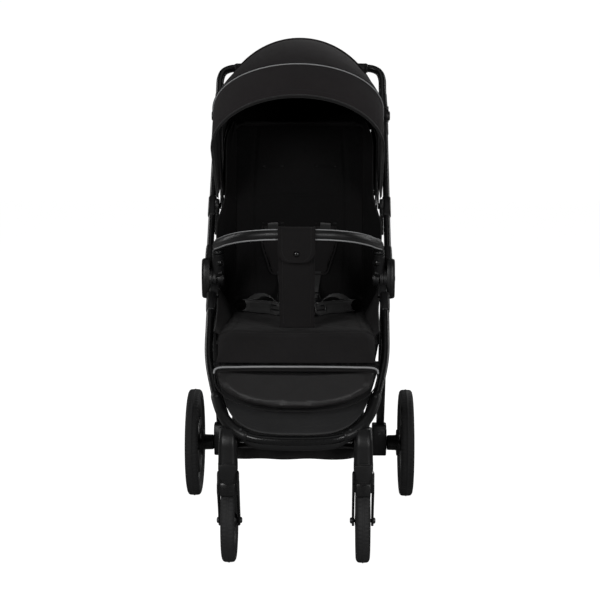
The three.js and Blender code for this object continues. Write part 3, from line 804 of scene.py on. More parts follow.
# canopy latch boss on the tube, with its rivet
bs = sweep("t9", mm([up_at(s) for s in (178, 181, 232, 236)]), "plastic", rrect(0.0172, 0.0195, 0.006, 5), up=(1, 0, 0), scale=[0.85, 1, 1, 0.85])
rv = lathe_x("t10", [(0, 213.4), (2.4, 213.2), (3.4, 212.2), (3.6, 211.2), (3.6, 208), (0, 208)], *up_at(206)[1:], "steel", 24)
put1 = join("upper", [ut, sock, tipc, nk, dd, cap, bs, rv])
both(put1, "upper_tube", "upper_frame", "upper_frame_tube_*")

# ------------------------------------------------------------------ main hinge
ell = lambda s: [(22 * s * math.cos(a), 46 * s * math.sin(a)) for a in np.linspace(0, 2 * math.pi, 65)[:-1]]


def oval(name, rings, mat):
    verts, faces = [], []
    for s, x in rings:
        inset = (1 - s) * 30
        for a in np.linspace(0, 2 * math.pi, 73)[:-1]:
            verts.append(D(x, HINGE[0] + max(0.5, 22 - inset) * math.cos(a), HINGE[1] + max(0.5, 46 - inset) * math.sin(a)))
    n = 72
    for j in range(len(rings) - 1):
        for i in range(n):
            k = (i + 1) % n
            faces.append((j * n + i, j * n + k, (j + 1) * n + k, (j + 1) * n + i))
    faces.append(tuple(range(n))[::-1])
    faces.append(tuple((len(rings) - 1) * n + i for i in range(n)))
    return sharp(new_obj(name, verts, faces, mat), 30)


cv = oval("t", [(0.99, 200.2), (1.0, 201), (1.0, 209.5), (0.99, 212.5), (0.955, 215.6), (0.9, 217.5), (0.84, 218.0), (0.80, 218.0), (0.79, 217.4), (0.765, 217.4), (0.755, 218.0), (0.5, 218.0)], "plastic")
pin = lathe_x("t2", [(0, 219.0), (5.6, 219.0), (6.6, 218.6), (7.0, 217.8), (7.0, 216), (0, 216)], *HINGE, "satin", 40)
band = oval("t3", [(0.985, 207.6), (1.022, 207.9), (1.022, 208.7), (0.985, 209.0)], "satin")
hc = join("hinge", [cv, pin, band])
both(hc, "hinge_shell", "upper_frame", "hinge_cover_*")
di = disc_x("t", 25, 184, 191.5, *HINGE, "plastic", 1.0)
fu = np.array([0, -1.0, -SLOPE])
fu /= np.linalg.norm(fu)
tg = sweep("t2", mm([(188.5, HINGE[0] + fu[1] * s, HINGE[1] + fu[2] * s) for s in (4, 30, 56)]), "plastic", rrect(0.0098, 0.021, 0.003, 4), up=(1, 0, 0), rnd=0.1)
sk = sweep("t3", mm([(194, HINGE[0] + fu[1] * s, HINGE[1] + fu[2] * s) for s in (48.5, 50, 84, 98, 101)]), "plastic", rrect(0.0215, 0.0225, 0.009, 6), up=(1, 0, 0), scale=[0.9, 1, 1, 0.93, 0.87])
both(join("hi", [di, tg, sk]), "hinge_core", "front_frame", "hinge_inner_*")

# ------------------------------------------------------------------ front legs, forks, locks
FX, FY = 142.0, -317.0
leg = sweep("t", mm([(FX, FY, z) for z in (209.6, 211.5, 226, 228, 262, 300)]), "plastic", rrect(0.041, 0.038, 0.0125, 7), up=(0, 1, 0), scale=[(0.95, 0.95), (1, 1), (1, 1), (0.985, 0.985), (0.95, 0.96), (0.86, 0.92)])
i0 = min(range(len(LOOP)), key=lambda i: abs(LOOP[i][0] - 0.172) + (0 if LOOP[i][1] < 0 and i < 90 else 9))
i1 = min(range(len(LOOP)), key=lambda i: abs(LOOP[i][0] - 0.100) + (0 if i < 90 else 9))
seg = LOOP[i0:i1 + 1]
slv = sweep("t2", seg, "plastic", rrect(0.0235, 0.0235, 0.0112, 7), up=FRAME_N, scale=[[0.83], [0.97]] + [[1.0]] * (len(seg) - 4) + [[0.97], [0.83]])
ear = prism("t3", [(-322, 268), (-300, 270), (-258, 266), (-258, 243), (-300, 238), (-322, 238)], FX - 15, FX + 5, "X", "plastic", 3, 3)
rivs = []
for k, off in ((i0 + 3, 1), (i1 - 3, 1)):
    p = LOOP[k]
    rivs.append(lathe_x("r%d" % k, [(0, 0), (2.6, 0.0), (3.3, 1.2), (3.3, 3)], 0, 0, "steel", 20))
    o = rivs[-1]
    # turn the little dome so that it faces out of the loop's plane
    M = Matrix.Translation(Vector(p) + Vector(FRAME_N) * 0.0138) @ Vector((-1, 0, 0)).rotation_difference(Vector(FRAME_N)).to_matrix().to_4x4() @ Matrix.Translation((0, -SY, 0))
    o.data.transform(M)
both(join("leg", [leg, slv, ear] + rivs), "front_leg_shell", "front_frame", "front_leg_*")

crown = lathe_z("t", [(0, 158), (19.5, 158), (22.5, 159.5), (23.5, 163), (23.5, 203), (22.6, 206.4), (20, 208), (0, 208)], FX, FY, "satin", 64)
tun = lathe_x("tun", [(0, FX - 17.9), (96, FX - 17.9), (96, FX + 17.9), (0, FX + 17.9)], -275, 90, "satin", 96)
boolean(crown, tun)
sharp(crown)
blade = [(-331, 184), (-303, 184), (-297, 170), (-284, 140), (-266, 99), (-263.4, 90), (-264.6, 83.6), (-269, 79.2), (-275, 78), (-281, 79.4), (-285.4, 84), (-290, 96), (-301, 122), (-318, 150), (-331, 166)]
b1 = prism("b1", blade, FX + 18.0, FX + 23.2, "X", "satin", 1.2, 3)
b2 = prism("b2", blade, FX - 23.2, FX - 18.0, "X", "satin", 1.2, 3)
stem = lathe_z("st", [(6.4, 200), (6.4, 214), (0, 214)], FX, FY, "steel", 32)
# small brow over the wheel
brow = prism("b3", [(-340.4, 160), (-338, 158), (-334, 164), (-334, 186), (-338.5, 188), (-340.4, 184)], FX - 15, FX + 15, "X", "satin", 1.2, 3)
both(join("fork", [crown, b1, b2, stem, brow]), "fork_shell", "fork_*", "front_fork_*")
ax = lathe_x("ax", [(0, FX + 27.4), (3.4, FX + 27.4), (5.4, FX + 26.8), (6.6, FX + 25.2), (6.6, FX + 23.4), (4, FX + 23.4), (4, FX - 23.4), (6.6, FX - 23.4), (6.6, FX - 25.2), (5.4, FX - 26.8), (3.4, FX - 27.4), (0, FX - 27.4)], -275, 90, "steel", 36)
both(ax, "front_axle_pin", "fork_*", "front_axle_*")

# shield-shaped lock lever hanging in front of the crown
sh = [(-17.5, 228), (17.5, 228), (18.6, 224), (18.0, 212), (14.6, 200), (8.4, 189.5), (2.4, 185.4), (-2.4, 185.4), (-8.4, 189.5), (-14.6, 200), (-18.0, 212), (-18.6, 224)]
lv = prism("lv", [(FX + x, z) for x, z in sh], -347.3, -342.2, "Y", "plastic", 1.7, 4)
rib = prism("lv2", [(FX - 7, 190.5 + 2.4), (FX + 7, 192.9), (FX + 5, 189.8), (FX - 5, 189.8)], -348.4, -346, "Y", "plastic", 0.5, 2)
hg = prism("lv3", [(-343, 230), (-337.2, 229), (-337.0, 215), (-343, 213)], FX - 12, FX + 12, "X", "plastic", 1.0, 3)
both(join("lock", [lv, rib, hg]), "lock_lever", "lock_*", "swivel_lock_*")

# cross tube, trim under the loop and the foot panel
cb = sweep("cb", mm([(-126, -272, 254), (0, -272, 254), (126, -272, 254)]), "paint", circle(0.0072, 28))
put(cb, "front_frame", "front_crossbar", slot="paint")
ti = [i for i in range(len(LOOP)) if abs(LOOP[i][0]) < 0.128 and LOOP[i][1] < -0.2]
tp = LOOP[ti] + np.array([0, 0.004, -0.0125])
nn = len(tp)
trim = sweep("loop_trim", tp, "plastic", rrect(0.013, 0.017, 0.005, 4), up=(0, 0, 1), scale=[[max(0.25, min(1, 6 * k / nn, 6 * (nn - 1 - k) / nn + 0.001))] for k in range(nn)])
put(trim, "front_frame")

# ------------------------------------------------------------------ wheels


def tyre(name, r, half, inner, xc, y, z, n, ridge, blocks):
    """Tyre with a moulded centre ridge, shoulder blocks and rounded sidewalls."""
    prof = [(inner, -half + 5.2), (inner + 3.0, -half + 2.2), (inner + (r - inner) * 0.33, -half + 0.3), (inner + (r - inner) * 0.5, -half), (r - 6.2, -half + 0.9), (r - 3.0, -half + 3.0),
            (r - 1.7, -half + 5.2), (r - 1.2, -half * 0.52), (r - 0.95, -half * 0.30), (r - 0.9, -1.9), (r - 0.1, -1.1), (r, -0.5)]
    prof = prof + [(a, -b) for a, b in reversed(prof)]
    k = len(prof)
    verts, faces = [], []
    for i in range(n):
        a = 2 * math.pi * i / n
        for e, (rr, x) in enumerate(prof):
            q = rr
            if 5 <= min(e, k - 1 - e) <= 8:
                ph = (i * blocks / n + (0.25 if e < k / 2 else 0.75)) % 1.0
                lane = min(e, k - 1 - e)
                deep = 1.0 if lane in (5, 6, 7) else 0.45
                q -= deep * (1.0 if ph < 0.34 else 0.0)
            verts.append(D(xc + x, y + q * math.cos(a), z + q * math.sin(a)))
    for i in range(n):
        j = (i + 1) % n
        for e in range(k):
            f = (e + 1) % k
            faces.append((i * k + e, i * k + f, j * k + f, j * k + e))
    return sharp(new_obj(name, verts, faces, "tyre"), 50)


def spoke(name, r0, r1, w0, w1, x0, x1, ang, y, z, mat):
    """One spoke, wide at the hub and at the rim and waisted between, crowned across its width."""
    verts, faces = [], []
    m, s = 12, 10
    for i in range(m + 1):
        t = i / m
        r = r0 + (r1 - r0) * t
        w = (w0 * (1 - t) + w1 * t) * (1 - 0.34 * math.sin(math.pi * t)) / 2
        h0 = x0 + (x1 - x0) * 0.10 * math.sin(math.pi * t)
        h1 = x1 - (x1 - x0) * 0.14 * math.sin(math.pi * t)
        for e in range(2 * s):
            a = 2 * math.pi * (e + 0.5) / (2 * s)
            cx, sx = math.cos(a), math.sin(a)
            p = abs(cx) ** 0.5 * (1 if cx > 0 else -1) * w
            q = (h0 + h1) / 2 + abs(sx) ** 0.5 * (1 if sx > 0 else -1) * (h1 - h0) / 2
            yy = r * math.cos(ang) - p * math.sin(ang)
            zz = r * math.sin(ang) + p * math.cos(ang)
            verts.append(D(q, y + yy, z + zz))
    k = 2 * s
    for i in range(m):
        for e in range(k):
            f = (e + 1) % k
            faces.append((i * k + e, i * k + f, (i + 1) * k + f, (i + 1) * k + e))
    faces.append(tuple(range(k)))
    faces.append(tuple(m * k + e for e in range(k))[::-1])
    return new_obj(name, verts, faces, mat)


# front
t = tyre("ft", 90, 15, 70.8, 142, -275, 90, 240, 1, 60)
both(t, "front_tread", "front_wheel_*", "front_tyre_*")
rimr = lathe_x("fr", [(70.6, 131.5), (68.5, 131.0), (66.0, 133.0), (62.0, 136.0), (60.5, 142), (62.0, 148.0), (66.0, 151), (68.5, 153.0), (70.6, 152.5), (70.2, 142)], -275, 90, "plastic", 96, closed=True)
hub = lathe_x("fh", [(4.6, 125.2), (9, 125.2), (13.4, 126.2), (15.6, 129), (16.5, 134), (17, 142), (16.5, 150), (15.6, 155), (13.4, 157.8), (9, 158.8), (4.6, 158.8)], -275, 90, "plastic", 56)
sp = [spoke("fs%d" % i, 13, 63.5, 17, 22, 134.5, 149.5, math.radians(90 + 72 * i), -275, 90, "plastic") for i in range(5)]
both(join("frim", [rimr, hub] + sp), "front_wheel_rim", "front_wheel_*", "front_rim_*")

# rear
t = tyre("rt", 131, 16, 110.0, 259, 275, 131, 336, 1, 84)
both(t, "rear_tread", "rear_wheel_*", "rear_tyre_*")
rimr = lathe_x("rr", [(109.8, 249), (107, 248.4), (104, 250), (100.5, 253.5), (98.6, 259), (100.5, 264.5), (104, 268), (107, 269.6), (109.8, 269), (109.2, 259)], 275, 131, "plastic", 120, closed=True)
hub = lathe_x("rh", [(6.2, 212.8), (15, 212.8), (17.4, 213.6), (18.4, 215.6), (18.8, 232), (21.0, 246), (21.6, 256), (21.4, 266), (20, 270.2), (16.5, 272.4), (14.8, 272.2), (14.2, 271.4), (0, 271.4)], 275, 131, "plastic", 72)
capr = lathe_x("rc", [(13.4, 271.2), (13.2, 272.6), (11, 273.6), (4, 274.2), (0, 274.2)], 275, 131, "satin", 48)
sp = [spoke("rs%d" % i, 16, 102, 22, 27, 250.5, 268.5, math.radians(90 + 72 * i), 275, 131, "plastic") for i in range(5)]
# raised brake ring on the inner side of the hub
notch = lathe_x("rn", [(21.5, 236), (31, 236), (32, 237), (32, 243), (31, 244), (21, 244)], 275, 131, "plastic", 60)
both(join("rrim", [rimr, hub, capr, notch] + sp), "rear_wheel_rim", "rear_wheel_*", "rear_rim_*")

# ------------------------------------------------------------------ rear axle, carriers and brake
parts = []
cr = sweep("cr", mm([(-182, 275, 146), (0, 275, 146), (182, 275, 146)]), "paint", circle(0.0102, 32))
parts.append(cr)
for sg in (1, -1):
    blk = prism("bk", [(253, 103), (262, 101), (290, 101), (297, 105), (299.6, 120), (296, 152), (285, 178), (279, 181), (254, 181), (250, 176), (247, 150)], 176, 211, "X", "plastic", 3.2, 4)
    inset = prism("bk2", [(262, 114), (288, 114), (289, 124), (286, 148), (277, 166), (262, 166), (258, 148)], 210, 212.0, "X", "satin", 0.8, 2)
    stub = lathe_x("sb", [(5.4, 205), (5.4, 268), (0, 268)], 275, 131, "steel", 32)
    clampr = lathe_x("cl", [(10.4, 160), (13.2, 160.6), (13.8, 162), (13.8, 177), (10.4, 177)], 275, 146, "plastic", 48)
    bolt = lathe_x("bo", [(0, 0), (3.2, 0), (3.8, 0.6), (3.8, 3)], 0, 0, "steel", 24)
    bolt.data.transform(Matrix.Translation(Vector(D(193, 246.6, 160))) @ Matrix.Rotation(math.pi / 2, 4, "Z") @ Matrix.Translation((0, -SY, 0)))
    for o in (blk, inset, stub, clampr, bolt):
        if sg < 0:
            for v in o.data.vertices:
                v.co.x = -v.co.x
            o.data.flip_normals()
        parts.append(o)
put(join("rear_axle_beam", parts), "rear_frame", "rear_axle", slot="plastic")
pd = prism("pd", [(289, 157), (296, 163), (326, 168), (331.5, 167), (334, 162.5), (331, 157), (322, 155), (300, 148), (289.5, 141)], -33, 33, "X", "satin", 2.0, 4)
ribs = [prism("pr%d" % k, [(300 + 6 * k, 163.4 + k), (303 + 6 * k, 164.2 + k), (303 + 6 * k, 165.8 + k), (300 + 6 * k, 165.0 + k)], -26, 26, "X", "plastic", 0.4, 2) for k in range(4)]
slv = lathe_x("ps", [(10.6, -34), (14.4, -34), (15.0, -33.2), (15.0, 33.2), (14.4, 34), (10.6, 34)], 275, 146, "satin", 56)
put(join("brake_lever", [pd, slv] + ribs), "brake", "brake_pedal", slot="gloss")

# ------------------------------------------------------------------ handle
side = [(200, 362, 947), (200, 393, 991), (199, 412, 1017), (192, 424, 1033), (176, 431, 1041), (150, 432.5, 1043), (100, 432.5, 1043), (0, 432.5, 1043)]
allp = side + [(-x, y, z) for x, y, z in reversed(side[:-1])]
HP = catmull(mm(allp), 181)
hb = sweep("hb", HP, "paint", circle(0.0094, 32))
# padded grip: slightly fatter, with a sewn seam underneath and a hem ring at each end
gi = [i for i in range(len(HP)) if abs(HP[i][0]) < 0.168]
gp = HP[gi]
grip = sweep("grip", gp, "leather", circle(0.0118, 36), scale=[[0.86], [0.98]] + [[1.0]] * (len(gp) - 4) + [[0.98], [0.86]])
rings_ = []
for e in (2, -3):
    c = gp[e]
    tdir = gp[e + 1] - gp[e - 1] if e > 0 else gp[e] - gp[e - 1]
    rings_.append(sweep("gr", [gp[e - 1 if e > 0 else e - 1], gp[e], gp[e + 1]], "binding", circle(0.0122, 32), scale=[0.96, 1, 0.96]))
seam = sweep("gs", gp[3:-3] + np.array([0, 0.0045, -0.0111]), "binding", circle(0.0009, 8))
tr = prism("trigger_cover", rrect(56, 15, 6, 5), 1028.6, 1036, "Z", "satin", 1.6, 4)
for v in tr.data.vertices:
    v.co.y += D(0, 432.5, 0)[1] - SY
parts = [hb, grip, seam] + rings_
for sg in (1, -1):
    hubp = lathe_x("hp", [(12.0, 203.6), (16.2, 203.6), (17.2, 204.4), (17.5, 206), (17.5, 211), (16.6, 213.2), (15, 214), (12.2, 214), (11.8, 213.2), (11.8, 207), (0, 207)], *TILT, "plastic", 64)
    dv = np.array([0, 31, 44.0])
    dv /= np.linalg.norm(dv)
    cuff = sweep("cu", mm([(201.5 if s < 30 else 200, TILT[0] + dv[1] * s, TILT[1] + dv[2] * s) for s in (17.6, 19.5, 46, 60, 64)]), "plastic", rrect(0.0212, 0.022, 0.0095, 6), up=(1, 0, 0), scale=[0.9, 1, 0.98, 0.95, 0.9])
    nkp = sweep("nk", mm([(206.4, TILT[0] + dv[1] * s, TILT[1] + dv[2] * s) for s in (10, 26)]), "plastic", rrect(0.0054, 0.016, 0.0015, 3), up=(1, 0, 0))
    for o in (hubp, cuff, nkp):
        if sg < 0:
            for v in o.data.vertices:
                v.co.x = -v.co.x
            o.data.flip_normals()
        parts.append(o)
put(join("handle_tube", parts), "handle", "handle_bar", slot="paint")
btn = lathe_x("bt", [(0, 217.0), (7.6, 217.4), (9.6, 217.2), (10.9, 216.2), (11.3, 214.4), (11.3, 208)], *TILT, "satin", 48)
both(btn, "handle_push", "handle_button_*", "tilt_button_*")
trg = prism("tg", rrect(47, 8.6, 3.5, 4), 1026, 1034, "Z", "plastic", 1.4, 3)
for v in trg.data.vertices:
    v.co.y += D(0, 432.5, 0)[1] - SY
put(trg, "fold_grip", "fold_trigger", slot="plastic")
put(tr, "handle")

# ------------------------------------------------------------------ canopy


def arch(u, w, leg_r, top, r0):
    s = 1 if u >= 0 else -1
    a = abs(u)
    if a > 0.76:
        return s * w, r0 + (leg_r - r0) * (1 - a) / 0.24
    t = a / 0.76 * math.pi / 2
    return s * w * math.sin(t), leg_r + (top - leg_r) * math.cos(t)


def polar(x, r, deg):
    a = math.radians(deg)
    return D(x, CANOPY[0] - r * math.sin(a), CANOPY[1] + r * math.cos(a))


REAR_A, MID_A, FRONT_A = -42.0, -5.0, 31.5


def smooth(a, b, x):
    t = min(1.0, max(0.0, (x - a) / (b - a)))
    return t * t * (3 - 2 * t)


def visor_edge(e):
    return 47.5 + 9.5 * min(1.0, (e / 0.76) ** 2)


def canopy_at(u, v, off=0.0, wr=1.0):
    """The hood surface: v 0 at the rear bow, 1 at the visor edge; u -1..1 across."""
    e = abs(u)
    edge = visor_edge(e)
    if v < 0.82:
        deg = -45.5 + (FRONT_A + 45.5) * (v / 0.82)
    else:
        deg = FRONT_A + (edge - FRONT_A) * (v - 0.82) / 0.18
    k = smooth(-2, 31.5, deg)
    leg_r = 186 + 80 * k
    top = 386.0
    # the cloth sinks a little between the bows, more at the sides
    sag = 0.0
    for a, b in ((REAR_A, MID_A), (MID_A, FRONT_A)):
        if a < deg < b:
            t = (deg - a) / (b - a)
            sag = math.sin(math.pi * t) ** 1.0 * (4.5 + 5.0 * smooth(0.3, 0.8, e))
    if deg > FRONT_A:
        sag = -1.2 * math.sin(math.pi * min(1, (deg - FRONT_A) / max(1, edge - FRONT_A)))
    fold = 0.0
    if e > 0.42 and deg < FRONT_A:
        t = (deg + 45) / 76.5
        fold = 1.9 * smooth(0.42, 0.8, e) * (math.sin(t * 31 + 2.2 * math.sin(e * 9)) * 0.6 + math.sin(t * 17 + e * 14 + (1.0 if u > 0 else 2.1)) * 0.6)
    x, r = arch(u, 188.6 - off - 0.35 * sag * wr - 0.5 * fold * wr, leg_r, top - off, 38 + 22 * (1 - k))
    r = r - sag * (1 - smooth(0.72, 0.95, e)) * wr + fold * 0.6 * wr
    return polar(x, r, deg)


NU, NV = ((128, 104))
hood = grid("hood_fabric", lambda a, b: canopy_at(2 * a - 1, b), NU, NV, "canopy")
hood.data.materials.append(MAT["lining"])
solidify(hood, 0.0022, -1.0, apply=False)
hood.modifiers["solid"].material_offset = 1
apply_mods(hood)
for p in hood.data.polygons:
    p.use_smooth = True
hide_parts("canopy_front_fabric", "canopy_rear_fabric")
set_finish(hood, "fabric")
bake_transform(hood)


def along_arch(v, n=161, lim=0.985, off=-0.2):
    return np.array([canopy_at(-lim + 2 * lim * i / (n - 1), v, off) for i in range(n)])


def out_of_hood(path):
    """Unit vectors away from the pivot axis and the middle plane, for lifting trims off the cloth."""
    q = np.array(path) - np.array(D(0, CANOPY[0], CANOPY[1]))
    q[:, 0] *= 1.6
    return q / np.linalg.norm(q, axis=1)[:, None]


# reflective piping at the front bow, and the bound edge of the visor
pp = along_arch(0.823)
pp = pp + out_of_hood(pp) * 0.0009
piping = sweep("visor_piping", pp, "piping", circle(0.00165, 10), up=(0, -1, 0.3))
flange = sweep("fl", pp - out_of_hood(pp) * 0.0006, "binding", rrect(0.0062, 0.0014, 0.0006, 2), up=(0, -1, 0.3))
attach(piping, "canopy_front")
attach(flange, "canopy_front")
flange.name = "visor_piping_tape"
ve = along_arch(1.0, off=0.4)
edge = sweep("visor_binding", ve, "binding", rrect(0.0052, 0.0105, 0.0024, 4), up=out_of_hood(ve)[80])
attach(edge, "canopy_front")
# a second row of stitching along the visor edge and along the piping
for nm, vv in (("visor_stitch", 0.972), ("piping_stitch_a", 0.838), ("piping_stitch_b", 0.806)):
    sp_ = along_arch(vv, 161, 0.8)
    st = stitches(nm, sp_ + out_of_hood(sp_) * 0.0004, "thread", 0.0046, 0.003, 0.00036)
    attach(st, "canopy_front")
# seam over the middle and rear bows
sm = along_arch(0.82 * (MID_A + 45.5) / (FRONT_A + 45.5), 161, 0.9)
ms = sweep("mid_seam", sm + out_of_hood(sm) * 0.0003, "canopy", rrect(0.0075, 0.0016, 0.0007, 3), up=(0, -1, 0.1))
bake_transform(ms)
rs = along_arch(0.036, 161, 0.97)
rb = sweep("rear_hem", rs + out_of_hood(rs) * 0.0003, "binding", rrect(0.009, 0.002, 0.0009, 3), up=(0, -1, 0.4))
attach(rb, "upper_frame")


# bows inside the hood, flat sprung strips
def bow(name, w, leg_r, top, deg, body, node):
    path = [polar(*arch(-1 + 2 * i / 120, w, leg_r, top, -6), deg) for i in range(121)]
    a = math.radians(deg)
    axis = (0, math.cos(a), math.sin(a))
    o = sweep(name, path, "plastic", rrect(0.0088, 0.003, 0.0013, 4), up=(1, 0, 0))
    # keep the strip's width along the direction across the bow's plane
    bpy.data.objects.remove(o)
    P = np.array(path)
    t = np.gradient(P, axis=0)
    t /= np.linalg.norm(t, axis=1)[:, None]
    side = np.array(axis)
    sec = rrect(0.0088, 0.003, 0.0013, 4)
    verts, faces = [], []
    k = len(sec)
    for p, tt in zip(P, t):
        n = np.cross(tt, side)
        n /= np.linalg.norm(n)
        for x, y in sec:
            verts.append(p + side * x + n * y)
    for i in range(len(P) - 1):
        for e in range(k):
            f = (e + 1) % k
            faces.append((i * k + e, i * k + f, (i + 1) * k + f, (i + 1) * k + e))
    faces.append(tuple(range(k)))
    faces.append(tuple((len(P) - 1) * k + e for e in range(k)))
    o = new_obj(name, verts, faces, "plastic")
    put(o, body, node, slot="plastic")
    return o


bow("bow_rear", 184.3, 186, 378, REAR_A, "upper_frame", "canopy_rear_bow")
bow("bow_mid", 180.7, 186, 377, MID_A, "canopy_mid", "canopy_mid_bow")
bow("bow_front", 177.0, 258, 377, FRONT_A, "canopy_front", "canopy_front_bow")
cm = lathe_x("cm", [(0, 187), (15.5, 187), (17, 188.4), (17, 193.6), (15.4, 195.2), (0, 195.2)], *CANOPY, "plastic", 56)
cm2 = lathe_x("cm2", [(0, 185.6), (6.5, 185.6), (7.4, 186.4), (7.4, 187.4), (0, 187.4)], *CANOPY, "satin", 32)
both(join("cmj", [cm, cm2]), "canopy_pivot", "upper_frame", "canopy_mount_*")
# ------------------------------------------------------------------ soft goods


def puff(o, voxel=5.0, cap=8.0, pressure=4.0, pin=None, hold=None, sub=1, smooth_it=3):
    """Fills a closed soft piece: a cloth run with pressure, its result kept within cap mm of the start.

    pin(co) is True where the cover is held, and hold(co) clamps a moved point back into the room it has."""
    m = o.modifiers.new("remesh", "REMESH")
    m.mode = "VOXEL"
    m.voxel_size = (voxel * 1.0) / 1000
    apply_mods(o)
    rest = np.array([v.co for v in o.data.vertices], float)
    if pin is not None:
        g = o.vertex_groups.new(name="pin")
        ids = [i for i, c in enumerate(rest) if pin(c)]
        if ids:
            g.add(ids, 1.0, "REPLACE")
    c = o.modifiers.new("cloth", "CLOTH")
    st = c.settings
    st.quality = 5
    st.mass = 0.25
    st.tension_stiffness = st.compression_stiffness = 12
    st.shear_stiffness = 6
    st.bending_stiffness = 0.8
    st.use_pressure = True
    st.uniform_pressure_force = pressure
    st.effector_weights.gravity = 0.0
    if pin is not None and ids:
        st.vertex_group_mass = "pin"
    c.collision_settings.use_collision = False
    c.collision_settings.use_self_collision = False
    c.point_cache.frame_start, c.point_cache.frame_end = 1, 20
    scene.frame_start, scene.frame_end = 1, 20
    for f in range(1, 21):
        scene.frame_set(f)
        bpy.context.view_layer.update()
    dg = bpy.context.evaluated_depsgraph_get()
    ev = o.evaluated_get(dg).to_mesh()
    now = np.array([v.co for v in ev.vertices], float)
    o.evaluated_get(dg).to_mesh_clear()
    o.modifiers.clear()
    scene.frame_set(1)
    d = now - rest
    ln = np.linalg.norm(d, axis=1)
    k = np.where(ln > cap / 1000, cap / 1000 / np.maximum(ln, 1e-9), 1.0)
    now = rest + d * k[:, None]
    if hold is not None:
        now = np.array([hold(c) for c in now])
    for i, v in enumerate(o.data.vertices):
        v.co = now[i]
    o.vertex_groups.clear()
    s = o.modifiers.new("soften", "SMOOTH")
    s.factor, s.iterations = 0.5, smooth_it
    apply_mods(o)
    if sub:
        subsurf(o, sub)
    for p in o.data.polygons:
        p.use_smooth = True
    return o


def channels(o, depth_at):
    """Presses seams and creases into a mesh: depth_at(points) gives metres inwards along the normal."""
    co = np.array([v.co for v in o.data.vertices], float)
    nr = np.array([v.normal for v in o.data.vertices], float)
    co = co - nr * depth_at(co, nr)[:, None]
    for i, v in enumerate(o.data.vertices):
        v.co = co[i]
    o.data.update()
    return o


def groove(d, width):
    """1 at distance 0, falling to 0 at width, rounded."""
    return np.clip(1 - np.abs(d) / width, 0, 1) ** 1.6


def wob(x, y, seed=0.0):
    """A cheap smooth wrinkle field of two coordinates in metres, about -1 to 1."""
    return (np.sin(x * 61 + 1.3 * np.sin(y * 37 + seed) + seed) * 0.4
            + np.sin(y * 83 + 1.7 * np.sin(x * 45 + seed * 2)) * 0.35
            + np.sin((x + y) * 141 + seed * 3) * 0.25)


def turned(name, prof, origin, axis, mat, n=40, up=(1, 0, 0)):
    """prof: (radius, s) in mm, turned about an axis through origin."""
    ax = Vector(axis).normalized()
    a = Vector(up) - ax * ax.dot(Vector(up))
    a.normalize()
    b = ax.cross(a)
    o3 = Vector(D(*origin))
    verts, faces = [], []
    k = len(prof)
    for i in range(n):
        t = 2 * math.pi * i / n
        for r, s in prof:
            verts.append(o3 + ax * (s / 1000) + (a * math.cos(t) + b * math.sin(t)) * (r / 1000))
    for i in range(n):
        j = (i + 1) % n
        for e in range(k - 1):
            faces.append((i * k + e, i * k + e + 1, j * k + e + 1, j * k + e))
    o = new_obj(name, verts, faces, mat)
    bm = bmesh.new()
    bm.from_mesh(o.data)
    bmesh.ops.remove_doubles(bm, verts=bm.verts, dist=1e-6)
    bmesh.ops.recalc_face_normals(bm, faces=bm.faces)
    bm.to_mesh(o.data)
    bm.free()
    return sharp(o)


LEAN = math.atan2(112, 440)
LS, LC = math.sin(LEAN), math.cos(LEAN)


def on_back(x, s, n):
    """A point on the backrest: s up along it, n forwards off the board, all in mm."""
    return D(x, 108 + s * LS - n * LC, 492 + s * LC + n * LS)


def back_sn(co):
    """(s, n) in mm on the backrest for points in metres."""
    y = (co[:, 1] - SY) * 1000 - 108
    z = co[:, 2] * 1000 - 492
    return y * LS + z * LC, -y * LC + z * LS


def box_on(f, corners, mat, name):
    """A closed form between two grids: f(a, b, side) in metres, a and b from 0 to 1, side 0 or 1."""
    na, nb = corners
    verts, faces = [], []
    for side in (0, 1):
        for j in range(nb + 1):
            for i in range(na + 1):
                verts.append(f(i / na, j / nb, side))
    w = na + 1
    h = w * (nb + 1)
    for j in range(nb):
        for i in range(na):
            a = j * w + i
            faces.append((a, a + 1, a + w + 1, a + w))
            faces.append((h + a, h + a + w, h + a + w + 1, h + a + 1))
    rim = [i for i in range(w)] + [j * w + na for j in range(1, nb + 1)] + [nb * w + i for i in range(na - 1, -1, -1)] + [j * w for j in range(nb - 1, 0, -1)]
    for i in range(len(rim)):
        a, b = rim[i], rim[(i + 1) % len(rim)]
        faces.append((a, b, h + b, h + a))
    return new_obj(name, verts, faces, mat)


# ---- bumper bar in coated leather, with light grey piping along both edges that also serves as painted highlight lines
AX = np.array([0.0, -15.0, 61.0])
AX /= np.linalg.norm(AX)


def on_ax(s, x=180.0):
    return (x, 4 + AX[1] * s, 573 + AX[2] * s)


half = [on_ax(64), (179.8, -15.5, 645), (179, -26, 652), (177, -42, 655), (173, -62, 658.5), (166, -92, 663.5), (146, -136, 675.5), (112, -172, 686.5), (62, -194, 693), (0, -200, 694)]
BAR = catmull(mm(half + [(-x, y, z) for x, y, z in half[-2::-1]]), 190)
bt, bs, bu = frames(BAR, (0, 0, 1))
bar_out = np.cross(bt, np.array([0, 0, 1.0]))
mid_i = len(BAR) // 2
if bar_out[mid_i][1] > 0:
    bar_out = -bar_out
bar_out /= np.maximum(np.linalg.norm(bar_out, axis=1), 1e-6)[:, None]
bar_up = np.cross(bar_out, bt)
if bar_up[mid_i][2] < 0:
    bar_up = -bar_up
bar = sweep("bumper_cover", BAR, "leather", circle(0.0122, 32), up=(0, 0, 1), rnd=0.25)
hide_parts("bumper_bar")
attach(bar, "bumper")
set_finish(bar, "leather")


def along_bar(deg, r, cut=9):
    a = math.radians(deg)
    q = BAR + bar_out * (math.cos(a) * r) + bar_up * (math.sin(a) * r)
    return q[cut:-cut]
